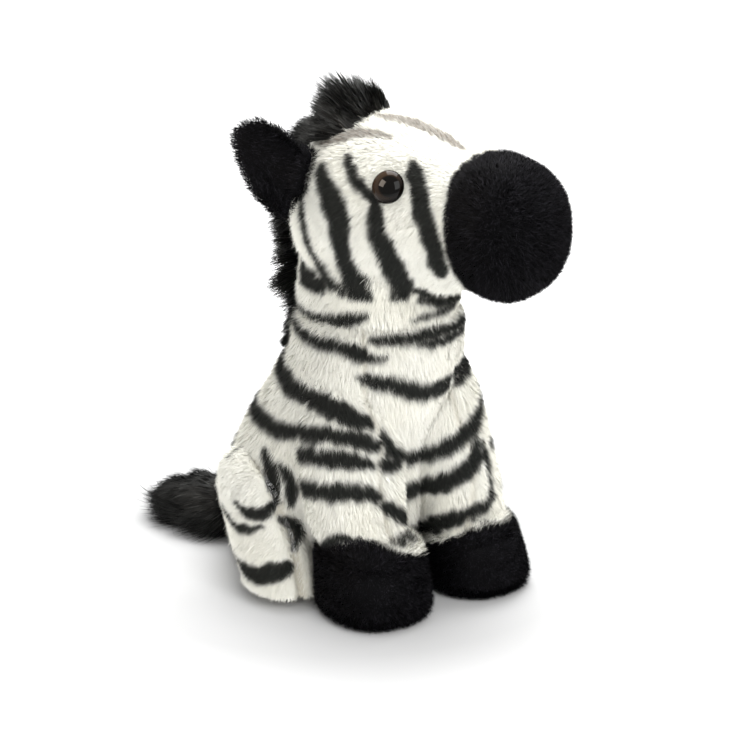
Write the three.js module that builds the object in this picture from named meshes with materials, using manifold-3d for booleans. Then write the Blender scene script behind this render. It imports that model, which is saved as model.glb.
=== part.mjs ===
// Plush zebra, sitting upright on its seat with both forelegs straight down.
// Millimetres, +Z up. The zebra faces -Y and its right side is at -X.
// The origin is the centre of the flat underside of the seat.
import * as THREE from 'three';
import { mergeVertices } from 'three/addons/utils/BufferGeometryUtils.js';
import Module from 'manifold-3d';

const wasm = await Module();
wasm.setup();

const X = new THREE.Vector3(1, 0, 0);
const Y = new THREE.Vector3(0, 1, 0);
const Z = new THREE.Vector3(0, 0, 1);
const RAD = Math.PI / 180;

// Driving dimensions. A half width or half depth is measured from the form's own centre line.

// Clearance between pieces that touch
const GAP = 0.35;
// Clearance round the neck ball, enough for its facets to turn past each other
const NECK_PLAY = 0.7;
// Backing cloth with the dense foot of its pile
const SKIN = 4;
// Depth by which the toy's weight presses each soft underside flat
const PRESS = 0.5;
// Length over which a form closes where a seam hides its end
const HIDDEN_END = 3;
// Half size of the blocks that trim forms, larger than the toy
const REACH = 400;

// Torso, from the seat to the shoulders
const TORSO_SEAT = { height: 12, y: 0, wide: 55, deep: 56 };
const TORSO_BELLY = { height: 44, y: -2, wide: 57, deep: 56 };
const TORSO_RIBS = { height: 74, y: -13, wide: 51, deep: 48 };
const TORSO_CHEST = { height: 100, y: -26, wide: 45, deep: 42 };
const TORSO_SHOULDER = { height: 122, y: -35, wide: 41, deep: 38.5 };
const TORSO_EDGE = 14;
const PELLET_BAG_TOP = 26;

// Neck: a stuffed ball that the head turns and nods on
const NECK_ABOVE_SHOULDER = 9;
const NECK_RADIUS = 38;
const SHOULDER_EDGE = 4;
const NECK_COVER_RISE = 21;
const HEAD_TURN_ANGLE = 16;

// Head, measured forward of the neck's centre and above it
const HEAD_BACK = { forward: -37, above: 54, wide: 37, tall: 39 };
const HEAD_CROWN = { forward: -8, above: 54, wide: 43, tall: 45 };
const HEAD_BROW = { forward: 20, above: 54, wide: 40, tall: 43 };
const HEAD_CHEEK = { forward: 42, above: 56, wide: 35, tall: 37 };
const HEAD_FRONT = { above: 57, wide: 30.5, tall: 31 };
const HEAD_ROUNDING = 24;
const COLLAR_BOTTOM = { above: 4, wide: 40.5, deep: 39.5 };
const COLLAR_TOP = { above: 44, wide: 38, deep: 37 };
const COLLAR_ROUNDING = 10;
// Head cloth sewn under the muzzle's
const SEAM_ALLOWANCE = 8;

// Muzzle, sewn to the face at a seam
const MUZZLE_SEAM = 61;
const MUZZLE_LENGTH = 33;
const MUZZLE_MIDDLE = { wide: 32, tall: 32 };
const MUZZLE_TIP = { wide: 25, tall: 26 };
const MUZZLE_ROUNDING = 20;
const MUZZLE_DROP = 5;

// Eyes: plastic domes on shanks, held by washers behind the cloth
const EYE_DIAMETER = 15;
const EYE_HEIGHT = 5.5;
const EYE_SUNK = 1.2;
const EYE_FORWARD = 31;
const EYE_ANGLE = 27;
const SHANK_DIAMETER = 4.4;
const SHANK_LENGTH = 11;
const WASHER_DIAMETER = 14;
const WASHER_THICKNESS = 1.6;

// Ears: cupped leaves, each folding on a rolled root
const EAR_LENGTH = 37;
const EAR_WIDE = 20;
const EAR_THICK = 2.6;
const EAR_LINING_THICK = 1.2;
const EAR_LINING_MARGIN = 3;
const EAR_LINING_PLAY = 0.7;
const EAR_CUP = 9;
const EAR_BEHIND_NECK = 12;
const EAR_ANGLE = 26;
// Degrees from straight back: the left ear lies folded back, the right one stands out
const EAR_SWEEP_ANGLE = { right: 41, left: -2 };
const EAR_ROOT_RADIUS = 4;
const EAR_ROOT_STANDOFF = 1.4;
const EAR_ROOT_LENGTH = 26;
// Share of the leaf's swelling that lies hidden at the root, and how blunt its tip is
const EAR_ROOT_SWELL = 0.28;
const EAR_TIP_BLUNT = 0.62;

// Mane: an upright strip of long pile along the midline
const MANE_THICK = 16;
const MANE_RISE = 16;
const MANE_NAPE_RISE = 11;
const MANE_FORELOCK = 2;
const MANE_ABOVE_COLLAR = 4;
const MANE_NECK_DROP = 20;
const MANE_EDGE = 3;
// Degrees by which the pile leans back at the forelock and at the nape
const MANE_LEAN_ANGLE = { forelock: 14, nape: 79 };

// Tail, lying on the ground behind the seat
const TAIL_ROOT = { x: -3, height: 16 };
const TAIL_TUCK = 2;
const TAIL_BEND = { x: -27, y: 57, height: 14 };
const TAIL_BRUSH = { x: -39, y: 71, height: 13 };
const TAIL_END = { x: -48, y: 98, height: 9 };
const TAIL_ROOT_HALF = 9;
const TAIL_HALF = 18;
const TAIL_TIP_HALF = 9;
const TAIL_ROUNDING = { root: 8, tip: 12 };
const TAIL_SWING_ANGLE = 18;

// Forelegs, as left-side values mirrored for the right
const LEG_TOP = { x: 22, y: -42, height: 120, wide: 16, deep: 15 };
const LEG_UPPER = { x: 22.5, y: -45, height: 88, wide: 21.5, deep: 21 };
const LEG_MIDDLE = { x: 25, y: -52, height: 60, wide: 22, deep: 22 };
const LEG_ANKLE = { x: 27.5, y: -61, height: 30, wide: 22, deep: 22 };
const LEG_ROUNDING = 16;
const LEG_END = 6;
const HOOF_SEAM = 34;
const LEG_TUCK = 12;
const HOOF_CUFF = 3;
const HOOF = { x: 29.5, y: -68, wide: 25, deep: 27.5, height: 39 };
const HOOF_ROUNDING = { sole: 10, cuff: 15 };
const LEG_SWING_ANGLE = 30;
const LEG_PIVOT_BEHIND = 22;

// Hind legs, folded beside the seat: each centre lies inside the seat's half width
const HAUNCH_TOP = { inset: 8, y: 1, height: 68, wide: 17, deep: 22 };
const HAUNCH_KNEE = { inset: 5, y: -7, height: 44, wide: 19.5, deep: 26 };
const HAUNCH_FOOT = { inset: 3, y: -27, height: 12, wide: 19, deep: 23 };
const HAUNCH_ROUNDING = 16;
const HAUNCH_SOLE_ROUNDING = 9;
const HIND_SOLE = 7;
const HIND_SPLAY_ANGLE = 14;
const HIND_PIVOT_INSET = 8;

// Colours and surfaces
const IVORY = { color: 0xf2efe6, roughness: 0.95, metalness: 0 };
const BLACK_PLUSH = { color: 0x17171a, roughness: 0.95, metalness: 0 };
const CHARCOAL_PILE = { color: 0x1e201f, roughness: 0.95, metalness: 0 };
const FIBRE_FILL = { color: 0xf7f7f5, roughness: 1, metalness: 0 };
const PELLET_CLOTH = { color: 0xd9d4c8, roughness: 0.9, metalness: 0 };
const EYE_PLASTIC = { color: 0x1c0f08, roughness: 0.12, metalness: 0 };
const WASHER_PLASTIC = { color: 0xe8e8e6, roughness: 0.5, metalness: 0 };

// Solids

/** Turns a closed three.js geometry into a solid that can be cut and joined. */
function solid(geometry) {
  const bare = geometry.clone();
  bare.deleteAttribute('normal');
  bare.deleteAttribute('uv');
  const merged = mergeVertices(bare, 1e-4);
  return new wasm.Manifold(new wasm.Mesh({
    numProp: 3,
    vertProperties: new Float32Array(merged.attributes.position.array),
    triVerts: new Uint32Array(merged.index.array),
  }));
}

/** Turns a solid back into a three.js geometry with flat-shaded normals. */
function geometryOf(body) {
  const mesh = body.getMesh();
  const geometry = new THREE.BufferGeometry();
  geometry.setAttribute('position', new THREE.BufferAttribute(new Float32Array(mesh.vertProperties), 3));
  geometry.setIndex(new THREE.BufferAttribute(new Uint32Array(mesh.triVerts), 1));
  geometry.computeVertexNormals();
  return geometry;
}

/** A large block that fills everything between two heights. */
function slab(low, high) {
  const block = new THREE.BoxGeometry(2 * REACH, 2 * REACH, high - low);
  return solid(block.translate(0, 0, (low + high) / 2));
}

/** Keeps what lies between two heights. */
function between(body, low, high = REACH) {
  return body.intersect(slab(low, high));
}

/** A ball round a point, grown by a clearance or shrunk by a wall. */
function ball(centre, radius, grow = 0) {
  const sphere = new THREE.SphereGeometry(radius + grow, 24, 16).rotateX(Math.PI / 2);
  return solid(sphere.translate(centre.x, centre.y, centre.z));
}

/** Position on a superellipse, from 0 at the pole to 1 at full width. */
function bluntness(share, blunt) {
  return Math.pow(1 - Math.pow(1 - share, blunt), 1 / blunt);
}

/** A stuffed form: rings along a curved centre line that swell, taper and close in round ends. */
class SoftForm {
  /** rows hold [x, y, z, half width, half depth] from one end to the other. */
  constructor(rows, { ends, blunt = [2, 2], across = X, deep = Y, square = 2, sides = 24, rings = 7 }) {
    const centres = rows.map(([x, y, z]) => new THREE.Vector3(x, y, z));
    this.line = new THREE.CatmullRomCurve3(centres, false, 'catmullrom', 0.5);
    this.sizes = new THREE.SplineCurve(rows.map((row) => new THREE.Vector2(row[3], row[4])));
    Object.assign(this, { ends, blunt, across, deep, square, sides, rings });
  }

  /** Length over which an end closes, grown by a clearance. */
  endLength(end, grow) {
    return Math.max(this.ends[end] + grow, 1);
  }

  /** Centre, half sizes and end rounding at a distance along the line, grown by a clearance. */
  station(distance, grow) {
    const length = this.line.getLength();
    const inside = THREE.MathUtils.clamp(distance, 0, length);
    const share = inside / length;
    const centre = this.line.getPointAt(share);
    centre.addScaledVector(this.line.getTangentAt(share), distance - inside);
    const size = this.sizes.getPoint(this.line.getUtoTmapping(share));
    const fromStart = Math.min(1, (distance + grow) / this.endLength(0, grow));
    const fromEnd = Math.min(1, (length + grow - distance) / this.endLength(1, grow));
    const startRound = bluntness(Math.max(0, fromStart), this.blunt[0]);
    const round = startRound * bluntness(Math.max(0, fromEnd), this.blunt[1]);
    return { centre, wide: (size.x + grow) * round, tall: (size.y + grow) * round };
  }

  /** Point of the surface at a distance along the line and an angle round it. */
  point(distance, angle, grow = 0) {
    const { centre, wide, tall } = this.station(distance, grow);
    const c = Math.cos(angle);
    const s = Math.sin(angle);
    const along = Math.sign(c) * Math.pow(Math.abs(c), 2 / this.square);
    const up = Math.sign(s) * Math.pow(Math.abs(s), 2 / this.square);
    return centre.addScaledVector(this.across, wide * along).addScaledVector(this.deep, tall * up);
  }

  /** Direction that points out of the surface there. */
  normal(distance, angle) {
    const step = 0.5;
    const along = this.point(distance + step, angle).sub(this.point(distance - step, angle));
    const turn = this.point(distance, angle + 0.02).sub(this.point(distance, angle - 0.02));
    const out = new THREE.Vector3().crossVectors(turn, along).normalize();
    const away = this.point(distance, angle).sub(this.station(distance, 0).centre);
    return out.dot(away) < 0 ? out.negate() : out;
  }

  /** Distances of the rings: close together in the round ends and even between them. */
  distances(grow) {
    const length = this.line.getLength();
    const start = this.endLength(0, grow);
    const end = this.endLength(1, grow);
    const arc = [0.35, 0.7].map((share) => 1 - Math.cos(share * Math.PI / 2));
    const first = arc.map((share) => -grow + share * start);
    const last = arc.map((share) => length + grow - share * end).reverse();
    const from = start - grow;
    const to = length + grow - end;
    const middle = Array.from({ length: this.rings }, (_, k) => from + (to - from) * k / (this.rings - 1));
    return [...first, ...middle, ...last];
  }

  /** The closed solid, grown by a clearance or shrunk by a wall. */
  body(grow = 0, sides = this.sides) {
    const length = this.line.getLength();
    const distances = this.distances(grow);
    const vertices = [];
    for (const distance of distances) {
      for (let k = 0; k < sides; k += 1) {
        vertices.push(...this.point(distance, 2 * Math.PI * k / sides, grow).toArray());
      }
    }
    vertices.push(...this.station(-grow, grow).centre.toArray());
    vertices.push(...this.station(length + grow, grow).centre.toArray());
    const startPole = distances.length * sides;
    const faces = [];
    for (let k = 0; k < sides; k += 1) {
      const next = (k + 1) % sides;
      faces.push(startPole, next, k);
      const top = (distances.length - 1) * sides;
      faces.push(startPole + 1, top + k, top + next);
      for (let ring = 0; ring < distances.length - 1; ring += 1) {
        const a = ring * sides;
        const b = a + sides;
        faces.push(a + k, a + next, b + next, a + k, b + next, b + k);
      }
    }
    const geometry = new THREE.BufferGeometry();
    geometry.setAttribute('position', new THREE.Float32BufferAttribute(vertices, 3));
    geometry.setIndex(signedVolume(vertices, faces) > 0 ? faces : faces.reverse());
    return solid(geometry);
  }
}

/** Volume inside a triangle mesh, negative when its faces point inward. */
function signedVolume(vertices, faces) {
  const corner = (k) => new THREE.Vector3().fromArray(vertices, 3 * faces[k]);
  let volume = 0;
  for (let k = 0; k < faces.length; k += 3) {
    volume += corner(k).dot(corner(k + 1).cross(corner(k + 2))) / 6;
  }
  return volume;
}

/** Turns a solid about an axis through a point. */
function turned(body, centre, axis, degrees) {
  const matrix = new THREE.Matrix4().makeTranslation(centre.x, centre.y, centre.z);
  matrix.multiply(new THREE.Matrix4().makeRotationAxis(axis, degrees * RAD));
  matrix.multiply(new THREE.Matrix4().makeTranslation(-centre.x, -centre.y, -centre.z));
  return body.transform(matrix.toArray());
}

/** Cuts a moving solid so that it clears an obstacle over its whole travel. */
function clearOf(body, obstacle, centre, axis, from, to) {
  const steps = 4;
  let rest = body;
  for (let k = 0; k <= steps; k += 1) {
    const degrees = from + (to - from) * k / steps;
    rest = rest.subtract(turned(obstacle, centre, axis, -degrees));
  }
  return rest;
}

/** Keeps the largest of the separate lumps that a cut may leave. */
function largest(body) {
  const lumps = body.decompose();
  return lumps.reduce((best, lump) => (lump.volume() > best.volume() ? lump : best));
}

const zebra = new THREE.Group();

/** Adds a finished solid to the toy under its name. */
function add(name, body, look) {
  const mesh = new THREE.Mesh(geometryOf(body), new THREE.MeshStandardMaterial(look));
  mesh.name = name;
  zebra.add(mesh);
}

// Torso and neck

const torsoRow = (part) => [0, part.y, part.height, part.wide, part.deep];
const torsoTop = { ...TORSO_SHOULDER, height: TORSO_SHOULDER.height + NECK_ABOVE_SHOULDER + TORSO_EDGE };
const torso = new SoftForm(
  [
    torsoRow({ ...TORSO_SEAT, height: -PRESS }),
    torsoRow(TORSO_SEAT),
    torsoRow(TORSO_BELLY),
    torsoRow(TORSO_RIBS),
    torsoRow(TORSO_CHEST),
    torsoRow(TORSO_SHOULDER),
    torsoRow(torsoTop),
  ],
  { ends: [TORSO_EDGE, TORSO_EDGE], blunt: [3.4, 2], rings: 7 },
);
const neck = new THREE.Vector3(0, TORSO_SHOULDER.y, TORSO_SHOULDER.height + NECK_ABOVE_SHOULDER);
const shoulderTop = neck.z - SHOULDER_EDGE;
const neckCoverTop = neck.z + NECK_COVER_RISE;
const INNER_SIDES = 14;
const LIMB_INNER_SIDES = 12;

/** The torso's outline with the neck ball on top, as other pieces must clear it. */
function torsoWithNeck(grow) {
  const trunk = between(torso.body(grow), -PRESS - grow, shoulderTop + grow);
  return trunk.add(ball(neck, NECK_RADIUS, grow));
}

const torsoClearance = torsoWithNeck(GAP);
const tailRoot = new THREE.Vector3(
  TAIL_ROOT.x,
  torso.point(TAIL_ROOT.height + PRESS, Math.PI / 2).y + TAIL_ROOT_HALF - TAIL_TUCK,
  TAIL_ROOT.height,
);

function addTorso() {
  const outer = between(torsoWithNeck(0), SKIN + GAP, neckCoverTop);
  const hollow = between(torso.body(-SKIN, INNER_SIDES), 0, shoulderTop - SKIN);
  const filled = hollow.add(ball(neck, NECK_RADIUS, -SKIN));
  const cover = outer.subtract(filled).subtract(ball(tailRoot, TAIL_ROOT_HALF, GAP));
  add('torso_cover', cover, IVORY);

  add('seat_panel', between(torso.body(), 0, SKIN), IVORY);

  const inside = torso.body(-SKIN - GAP, INNER_SIDES);
  add('pellet_bag', between(inside, SKIN + GAP, PELLET_BAG_TOP), PELLET_CLOTH);

  const stuffing = between(inside, PELLET_BAG_TOP + GAP, shoulderTop - SKIN - GAP);
  add('torso_stuffing', stuffing.subtract(ball(neck, NECK_RADIUS, -SKIN)), FIBRE_FILL);

  add('neck_stuffing', ball(neck, NECK_RADIUS, -SKIN - NECK_PLAY), FIBRE_FILL);
}

// Head, in a frame whose origin is the neck's centre and whose -Y is straight ahead

const headRow = (part) => [0, -part.forward, part.above, part.wide, part.tall];
const atSeam = { ...HEAD_FRONT, forward: MUZZLE_SEAM };
const pastSeam = { ...HEAD_FRONT, forward: MUZZLE_SEAM + SEAM_ALLOWANCE };
const head = new SoftForm(
  [HEAD_BACK, HEAD_CROWN, HEAD_BROW, HEAD_CHEEK, atSeam, pastSeam].map(headRow),
  { ends: [HEAD_ROUNDING, HIDDEN_END], deep: Z, rings: 6 },
);
const collar = new SoftForm(
  [COLLAR_BOTTOM, COLLAR_TOP].map((part) => [0, 0, part.above, part.wide, part.deep]),
  { ends: [HIDDEN_END, COLLAR_ROUNDING], blunt: [2.5, 2], rings: 3 },
);
const muzzleMiddle = {
  ...MUZZLE_MIDDLE,
  forward: MUZZLE_SEAM + MUZZLE_LENGTH / 2,
  above: HEAD_FRONT.above - MUZZLE_DROP / 2,
};
const muzzleTip = {
  ...MUZZLE_TIP,
  forward: MUZZLE_SEAM + MUZZLE_LENGTH,
  above: HEAD_FRONT.above - MUZZLE_DROP,
};
const muzzle = new SoftForm(
  [{ ...HEAD_FRONT, forward: HEAD_CHEEK.forward }, atSeam, muzzleMiddle, muzzleTip].map(headRow),
  { ends: [HIDDEN_END, MUZZLE_ROUNDING], blunt: [2, 2.3], deep: Z, square: 2.25, rings: 5 },
);

/** Places a solid made in the head's frame on the neck, turned as the head is. */
function placedOnNeck(body) {
  return body.rotate([0, 0, HEAD_TURN_ANGLE]).translate([neck.x, neck.y, neck.z]);
}

/** Everything ahead of the muzzle seam, in the head's frame. */
function aheadOfSeam(grow) {
  const block = new THREE.BoxGeometry(2 * REACH, REACH, 2 * REACH);
  return solid(block.translate(0, -MUZZLE_SEAM - REACH / 2 + grow, 0));
}

/** Matrix that stands local +Y along a direction at a point. */
function standing(point, direction) {
  const turn = new THREE.Quaternion().setFromUnitVectors(Y, direction);
  return new THREE.Matrix4().compose(point, turn, new THREE.Vector3(1, 1, 1));
}

/** A turned solid from a profile of [radius, height] pairs, standing on the given matrix. */
function turnedSolid(profile, matrix, sides = 16) {
  const lathe = new THREE.LatheGeometry(profile.map(([r, h]) => new THREE.Vector2(r, h)), sides);
  return solid(lathe.applyMatrix4(matrix));
}

/** A plain cylinder between two heights on the given matrix. */
function rod(radius, low, high, matrix, sides = 12) {
  return turnedSolid([[0, low], [radius, low], [radius, high], [0, high]], matrix, sides);
}

/** Where one eye stands on the head: side is -1 for the right and 1 for the left. */
function eyePlace(side) {
  const angle = side > 0 ? EYE_ANGLE * RAD : Math.PI - EYE_ANGLE * RAD;
  const distance = EYE_FORWARD - HEAD_BACK.forward;
  const out = head.normal(distance, angle);
  return standing(head.point(distance, angle).addScaledVector(out, -EYE_SUNK), out);
}

/** Profile of the eye's dome with its shank behind it. */
function eyeProfile() {
  const radius = EYE_DIAMETER / 2;
  const dome = Array.from({ length: 6 }, (_, k) => {
    const angle = k / 5 * Math.PI / 2;
    return [radius * Math.cos(angle), 1 + (EYE_HEIGHT - 1) * Math.sin(angle)];
  });
  const stem = SHANK_DIAMETER / 2;
  const shank = [[0, -SHANK_LENGTH], [stem, -SHANK_LENGTH], [stem, 0], [radius, 0]];
  return [...shank, ...dome.slice(0, -1), [0, EYE_HEIGHT]];
}

const washerTop = EYE_SUNK - SKIN - 2 * GAP;

/** The flat ring that grips the shank behind the cloth. */
function washerProfile() {
  const bore = SHANK_DIAMETER / 2 + GAP;
  const low = washerTop - WASHER_THICKNESS;
  const edge = WASHER_DIAMETER / 2;
  return [[bore, low], [edge, low], [edge, washerTop], [bore, washerTop], [bore, low]];
}

// Ears

/** The frame of one ear's root: its place, the fold axis, the leaf's direction and its open side. */
function earFrame(side) {
  const angle = side > 0 ? EAR_ANGLE * RAD : Math.PI - EAR_ANGLE * RAD;
  const distance = -EAR_BEHIND_NECK - HEAD_BACK.forward;
  const surface = head.point(distance, angle);
  const out = head.normal(distance, angle);
  const above = head.point(distance, angle + side * 0.2);
  const down = head.point(distance, angle - side * 0.2).sub(above).normalize();
  const sweep = side < 0 ? EAR_SWEEP_ANGLE.right : EAR_SWEEP_ANGLE.left;
  const reach = Y.clone().addScaledVector(down, -Y.dot(down)).normalize();
  reach.applyAxisAngle(down, side * sweep * RAD);
  const open = new THREE.Vector3().crossVectors(reach, down).multiplyScalar(side).normalize();
  const root = surface.clone().addScaledVector(out, EAR_ROOT_STANDOFF);
  return { root, down, reach, open: open.dot(out) < 0 ? open.negate() : open };
}

/** Half width of the ear's leaf at a share of its length. */
function earHalfWidth(share, margin) {
  const swell = Math.sin(Math.PI * THREE.MathUtils.lerp(EAR_ROOT_SWELL, 1, share));
  return Math.max(EAR_THICK / 4, (EAR_WIDE - margin) * Math.pow(Math.max(0, swell), EAR_TIP_BLUNT));
}

/** A cupped leaf of even thickness, offset toward the ear's open side. */
function earLeaf(side, offset, thick, margin, start) {
  const { root, down, reach, open } = earFrame(side);
  const rings = 8;
  const sides = 12;
  const end = EAR_LENGTH - margin;
  const vertices = [];
  const place = (along, width, out) => root.clone()
    .addScaledVector(reach, along).addScaledVector(down, width).addScaledVector(open, out);
  for (let ring = 0; ring < rings; ring += 1) {
    const share = ring / (rings - 1);
    const along = start + (end - start) * share;
    const half = earHalfWidth(along / EAR_LENGTH, margin);
    const body = thick * Math.min(1, Math.sqrt(Math.max(0.06, 1 - share * share)) + 0.25);
    for (let k = 0; k < sides; k += 1) {
      const angle = 2 * Math.PI * k / sides;
      const width = half * Math.cos(angle);
      const cup = EAR_CUP * (width / EAR_WIDE) ** 2 * Math.min(1, 0.2 + 2 * along / EAR_LENGTH);
      vertices.push(...place(along, width, offset + body / 2 * Math.sin(angle) + cup).toArray());
    }
  }
  vertices.push(...place(start, 0, offset).toArray(), ...place(end, 0, offset).toArray());
  const faces = [];
  const pole = rings * sides;
  const last = (rings - 1) * sides;
  for (let k = 0; k < sides; k += 1) {
    const next = (k + 1) % sides;
    faces.push(pole, next, k, pole + 1, last + k, last + next);
    for (let ring = 0; ring < rings - 1; ring += 1) {
      const a = ring * sides;
      const b = a + sides;
      faces.push(a + k, a + next, b + next, a + k, b + next, b + k);
    }
  }
  const geometry = new THREE.BufferGeometry();
  geometry.setAttribute('position', new THREE.Float32BufferAttribute(vertices, 3));
  geometry.setIndex(signedVolume(vertices, faces) > 0 ? faces : faces.reverse());
  return solid(geometry);
}

/** The rolled root along the fold axis, grown by a clearance for its groove in the head. */
function earRoll(side, grow = 0) {
  const { root, down } = earFrame(side);
  const half = EAR_ROOT_LENGTH / 2 + grow;
  return rod(EAR_ROOT_RADIUS + grow, -half, half, standing(root, down));
}

function addEar(side, name) {
  const leaf = earLeaf(side, 0, EAR_THICK, 0, 0);
  const outer = leaf.add(earRoll(side));
  const start = EAR_ROOT_RADIUS + GAP;
  const inward = EAR_THICK / 2 + EAR_LINING_THICK / 2 + EAR_LINING_PLAY;
  const lining = earLeaf(side, inward, EAR_LINING_THICK, EAR_LINING_MARGIN, start);
  add(`ear_${name}`, placedOnNeck(outer), BLACK_PLUSH);
  add(`ear_lining_${name}`, placedOnNeck(lining.subtract(earRoll(side, GAP))), BLACK_PLUSH);
}

// Mane

/** A plate in the midline plane from an outline of [y, z] points, with rounded edges. */
function midlinePlate(outline, thick) {
  const shape = new THREE.Shape(outline.map(([y, z]) => new THREE.Vector2(y, z)));
  const plate = new THREE.ExtrudeGeometry(shape, {
    depth: thick - 2 * MANE_EDGE,
    bevelThickness: MANE_EDGE,
    bevelSize: MANE_EDGE,
    bevelOffset: -MANE_EDGE,
    bevelSegments: 2,
    curveSegments: 8,
  });
  plate.translate(0, 0, MANE_EDGE - thick / 2);
  const axes = new THREE.Matrix4().makeBasis(Y, Z, X);
  return solid(plate.applyMatrix4(axes));
}

const maneBottom = COLLAR_BOTTOM.above + MANE_ABOVE_COLLAR;

/** The mane's upper edge as [y, z] points, from the forelock over the crown and down the nape. */
function maneEdge() {
  const points = [];
  const length = -MANE_FORELOCK - HEAD_BACK.forward;
  const steps = 6;
  for (let k = 0; k <= steps; k += 1) {
    const share = k / steps;
    const root = head.point(Math.max(length * (1 - share), SKIN), Math.PI / 2);
    const lean = THREE.MathUtils.lerp(MANE_LEAN_ANGLE.forelock, MANE_LEAN_ANGLE.nape, share) * RAD;
    const rise = MANE_RISE * Math.sqrt(Math.min(1, (k + 0.1) / 2));
    points.push([root.y + rise * Math.sin(lean), root.z + rise * Math.cos(lean)]);
  }
  const nape = COLLAR_BOTTOM.deep + MANE_NAPE_RISE;
  points.push([-HEAD_BACK.forward + MANE_NAPE_RISE, HEAD_BACK.above]);
  points.push([nape, (HEAD_BACK.above + maneBottom) / 2]);
  points.push([nape, maneBottom]);
  return points;
}

function addMane() {
  const crown = HEAD_CROWN.above + HEAD_CROWN.tall / 2;
  const inside = [[0, maneBottom], [0, HEAD_BACK.above], [MANE_FORELOCK, crown]];
  const plate = midlinePlate([...maneEdge(), ...inside], MANE_THICK);
  const clear = head.body(GAP).add(collar.body(GAP)).add(ball(new THREE.Vector3(), NECK_RADIUS, NECK_PLAY));
  add('mane_head', placedOnNeck(largest(plate.subtract(clear))), CHARCOAL_PILE);

  const back = TORSO_SHOULDER.y + TORSO_SHOULDER.deep;
  const top = shoulderTop - GAP;
  const low = top - MANE_NECK_DROP;
  const outline = [
    [TORSO_SHOULDER.y, top],
    [back + MANE_NAPE_RISE, top],
    [back + MANE_NAPE_RISE + MANE_EDGE, (top + low) / 2],
    [back + MANE_NAPE_RISE / 2, low],
    [TORSO_SHOULDER.y, low],
  ];
  const strip = midlinePlate(outline, MANE_THICK);
  add('mane_neck', largest(strip.subtract(torsoClearance)), CHARCOAL_PILE);
}

function addHead() {
  const neckCup = ball(new THREE.Vector3(), NECK_RADIUS, NECK_PLAY);
  let cover = head.body().add(collar.body()).subtract(aheadOfSeam(GAP / 2)).subtract(neckCup);
  const hollow = head.body(-SKIN, INNER_SIDES).add(collar.body(-SKIN, INNER_SIDES));
  cover = cover.subtract(hollow.add(muzzle.body(-SKIN, INNER_SIDES)));
  let stuffing = head.body(-SKIN - GAP, INNER_SIDES).add(collar.body(-SKIN - GAP, INNER_SIDES));
  stuffing = stuffing.add(muzzle.body(-SKIN - GAP, INNER_SIDES)).subtract(neckCup);
  const aroundWasher = WASHER_DIAMETER / 2 + GAP;
  for (const side of [-1, 1]) {
    const place = eyePlace(side);
    cover = cover.subtract(rod(SHANK_DIAMETER / 2 + GAP, -SHANK_LENGTH, 1, place));
    cover = cover.subtract(rod(EYE_DIAMETER / 2 + GAP, -GAP, EYE_HEIGHT, place, 16));
    cover = cover.subtract(rod(aroundWasher, washerTop - WASHER_THICKNESS, washerTop + GAP, place));
    stuffing = stuffing.subtract(rod(aroundWasher, -SHANK_LENGTH - GAP, EYE_HEIGHT, place));
    cover = cover.subtract(earRoll(side, GAP));
    stuffing = stuffing.subtract(earRoll(side, GAP));
    const name = side < 0 ? 'right' : 'left';
    add(`eye_${name}`, placedOnNeck(turnedSolid(eyeProfile(), place)), EYE_PLASTIC);
    add(`eye_washer_${name}`, placedOnNeck(turnedSolid(washerProfile(), place)), WASHER_PLASTIC);
    addEar(side, name);
  }
  add('head_cover', placedOnNeck(largest(cover)), IVORY);
  add('head_stuffing', placedOnNeck(largest(stuffing)), FIBRE_FILL);
  const snout = muzzle.body().intersect(aheadOfSeam(-GAP / 2)).subtract(muzzle.body(-SKIN, INNER_SIDES));
  add('muzzle_cover', placedOnNeck(snout), BLACK_PLUSH);
}

// Forelegs

function addForeleg(side, name) {
  const row = (part) => [side * part.x, part.y, part.height, part.wide, part.deep];
  const legEnd = { ...LEG_ANKLE, height: HOOF_SEAM / 2 };
  const leg = new SoftForm(
    [LEG_TOP, LEG_UPPER, LEG_MIDDLE, LEG_ANKLE, legEnd].map(row),
    { ends: [LEG_ROUNDING, LEG_END], sides: 20, rings: 7 },
  );
  const hoofTop = {
    ...LEG_ANKLE,
    height: HOOF.height,
    wide: LEG_ANKLE.wide + HOOF_CUFF,
    deep: LEG_ANKLE.deep + HOOF_CUFF,
  };
  const hoof = new SoftForm(
    [{ ...HOOF, height: -PRESS }, { ...HOOF, height: HOOF.height / 2 }, hoofTop].map(row),
    { ends: [HOOF_ROUNDING.sole, HOOF_ROUNDING.cuff], blunt: [2.8, 2], square: 2.4, sides: 20, rings: 4 },
  );
  const pivot = new THREE.Vector3(0, LEG_TOP.y + LEG_PIVOT_BEHIND, LEG_TOP.height);
  const clear = (body) => largest(clearOf(body, torsoClearance, pivot, X, -LEG_SWING_ANGLE, 0));

  const sock = leg.body().subtract(leg.body(-SKIN, LIMB_INNER_SIDES)).subtract(hoof.body(GAP));
  add(`foreleg_${name}`, clear(between(sock, HOOF_SEAM)), IVORY);

  const legInHoof = between(leg.body(GAP), HOOF_SEAM - LEG_TUCK);
  const shell = between(hoof.body(), 0).subtract(hoof.body(-SKIN, LIMB_INNER_SIDES));
  add(`fore_hoof_${name}`, clear(shell.subtract(legInHoof)), BLACK_PLUSH);

  const legFill = between(leg.body(-SKIN - GAP, LIMB_INNER_SIDES), HOOF_SEAM - LEG_TUCK + SKIN);
  const hoofFill = hoof.body(-SKIN - GAP, LIMB_INNER_SIDES);
  add(`foreleg_stuffing_${name}`, clear(legFill.add(hoofFill)), FIBRE_FILL);
  return legInHoof.add(hoof.body(GAP));
}

// Hind legs

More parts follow.
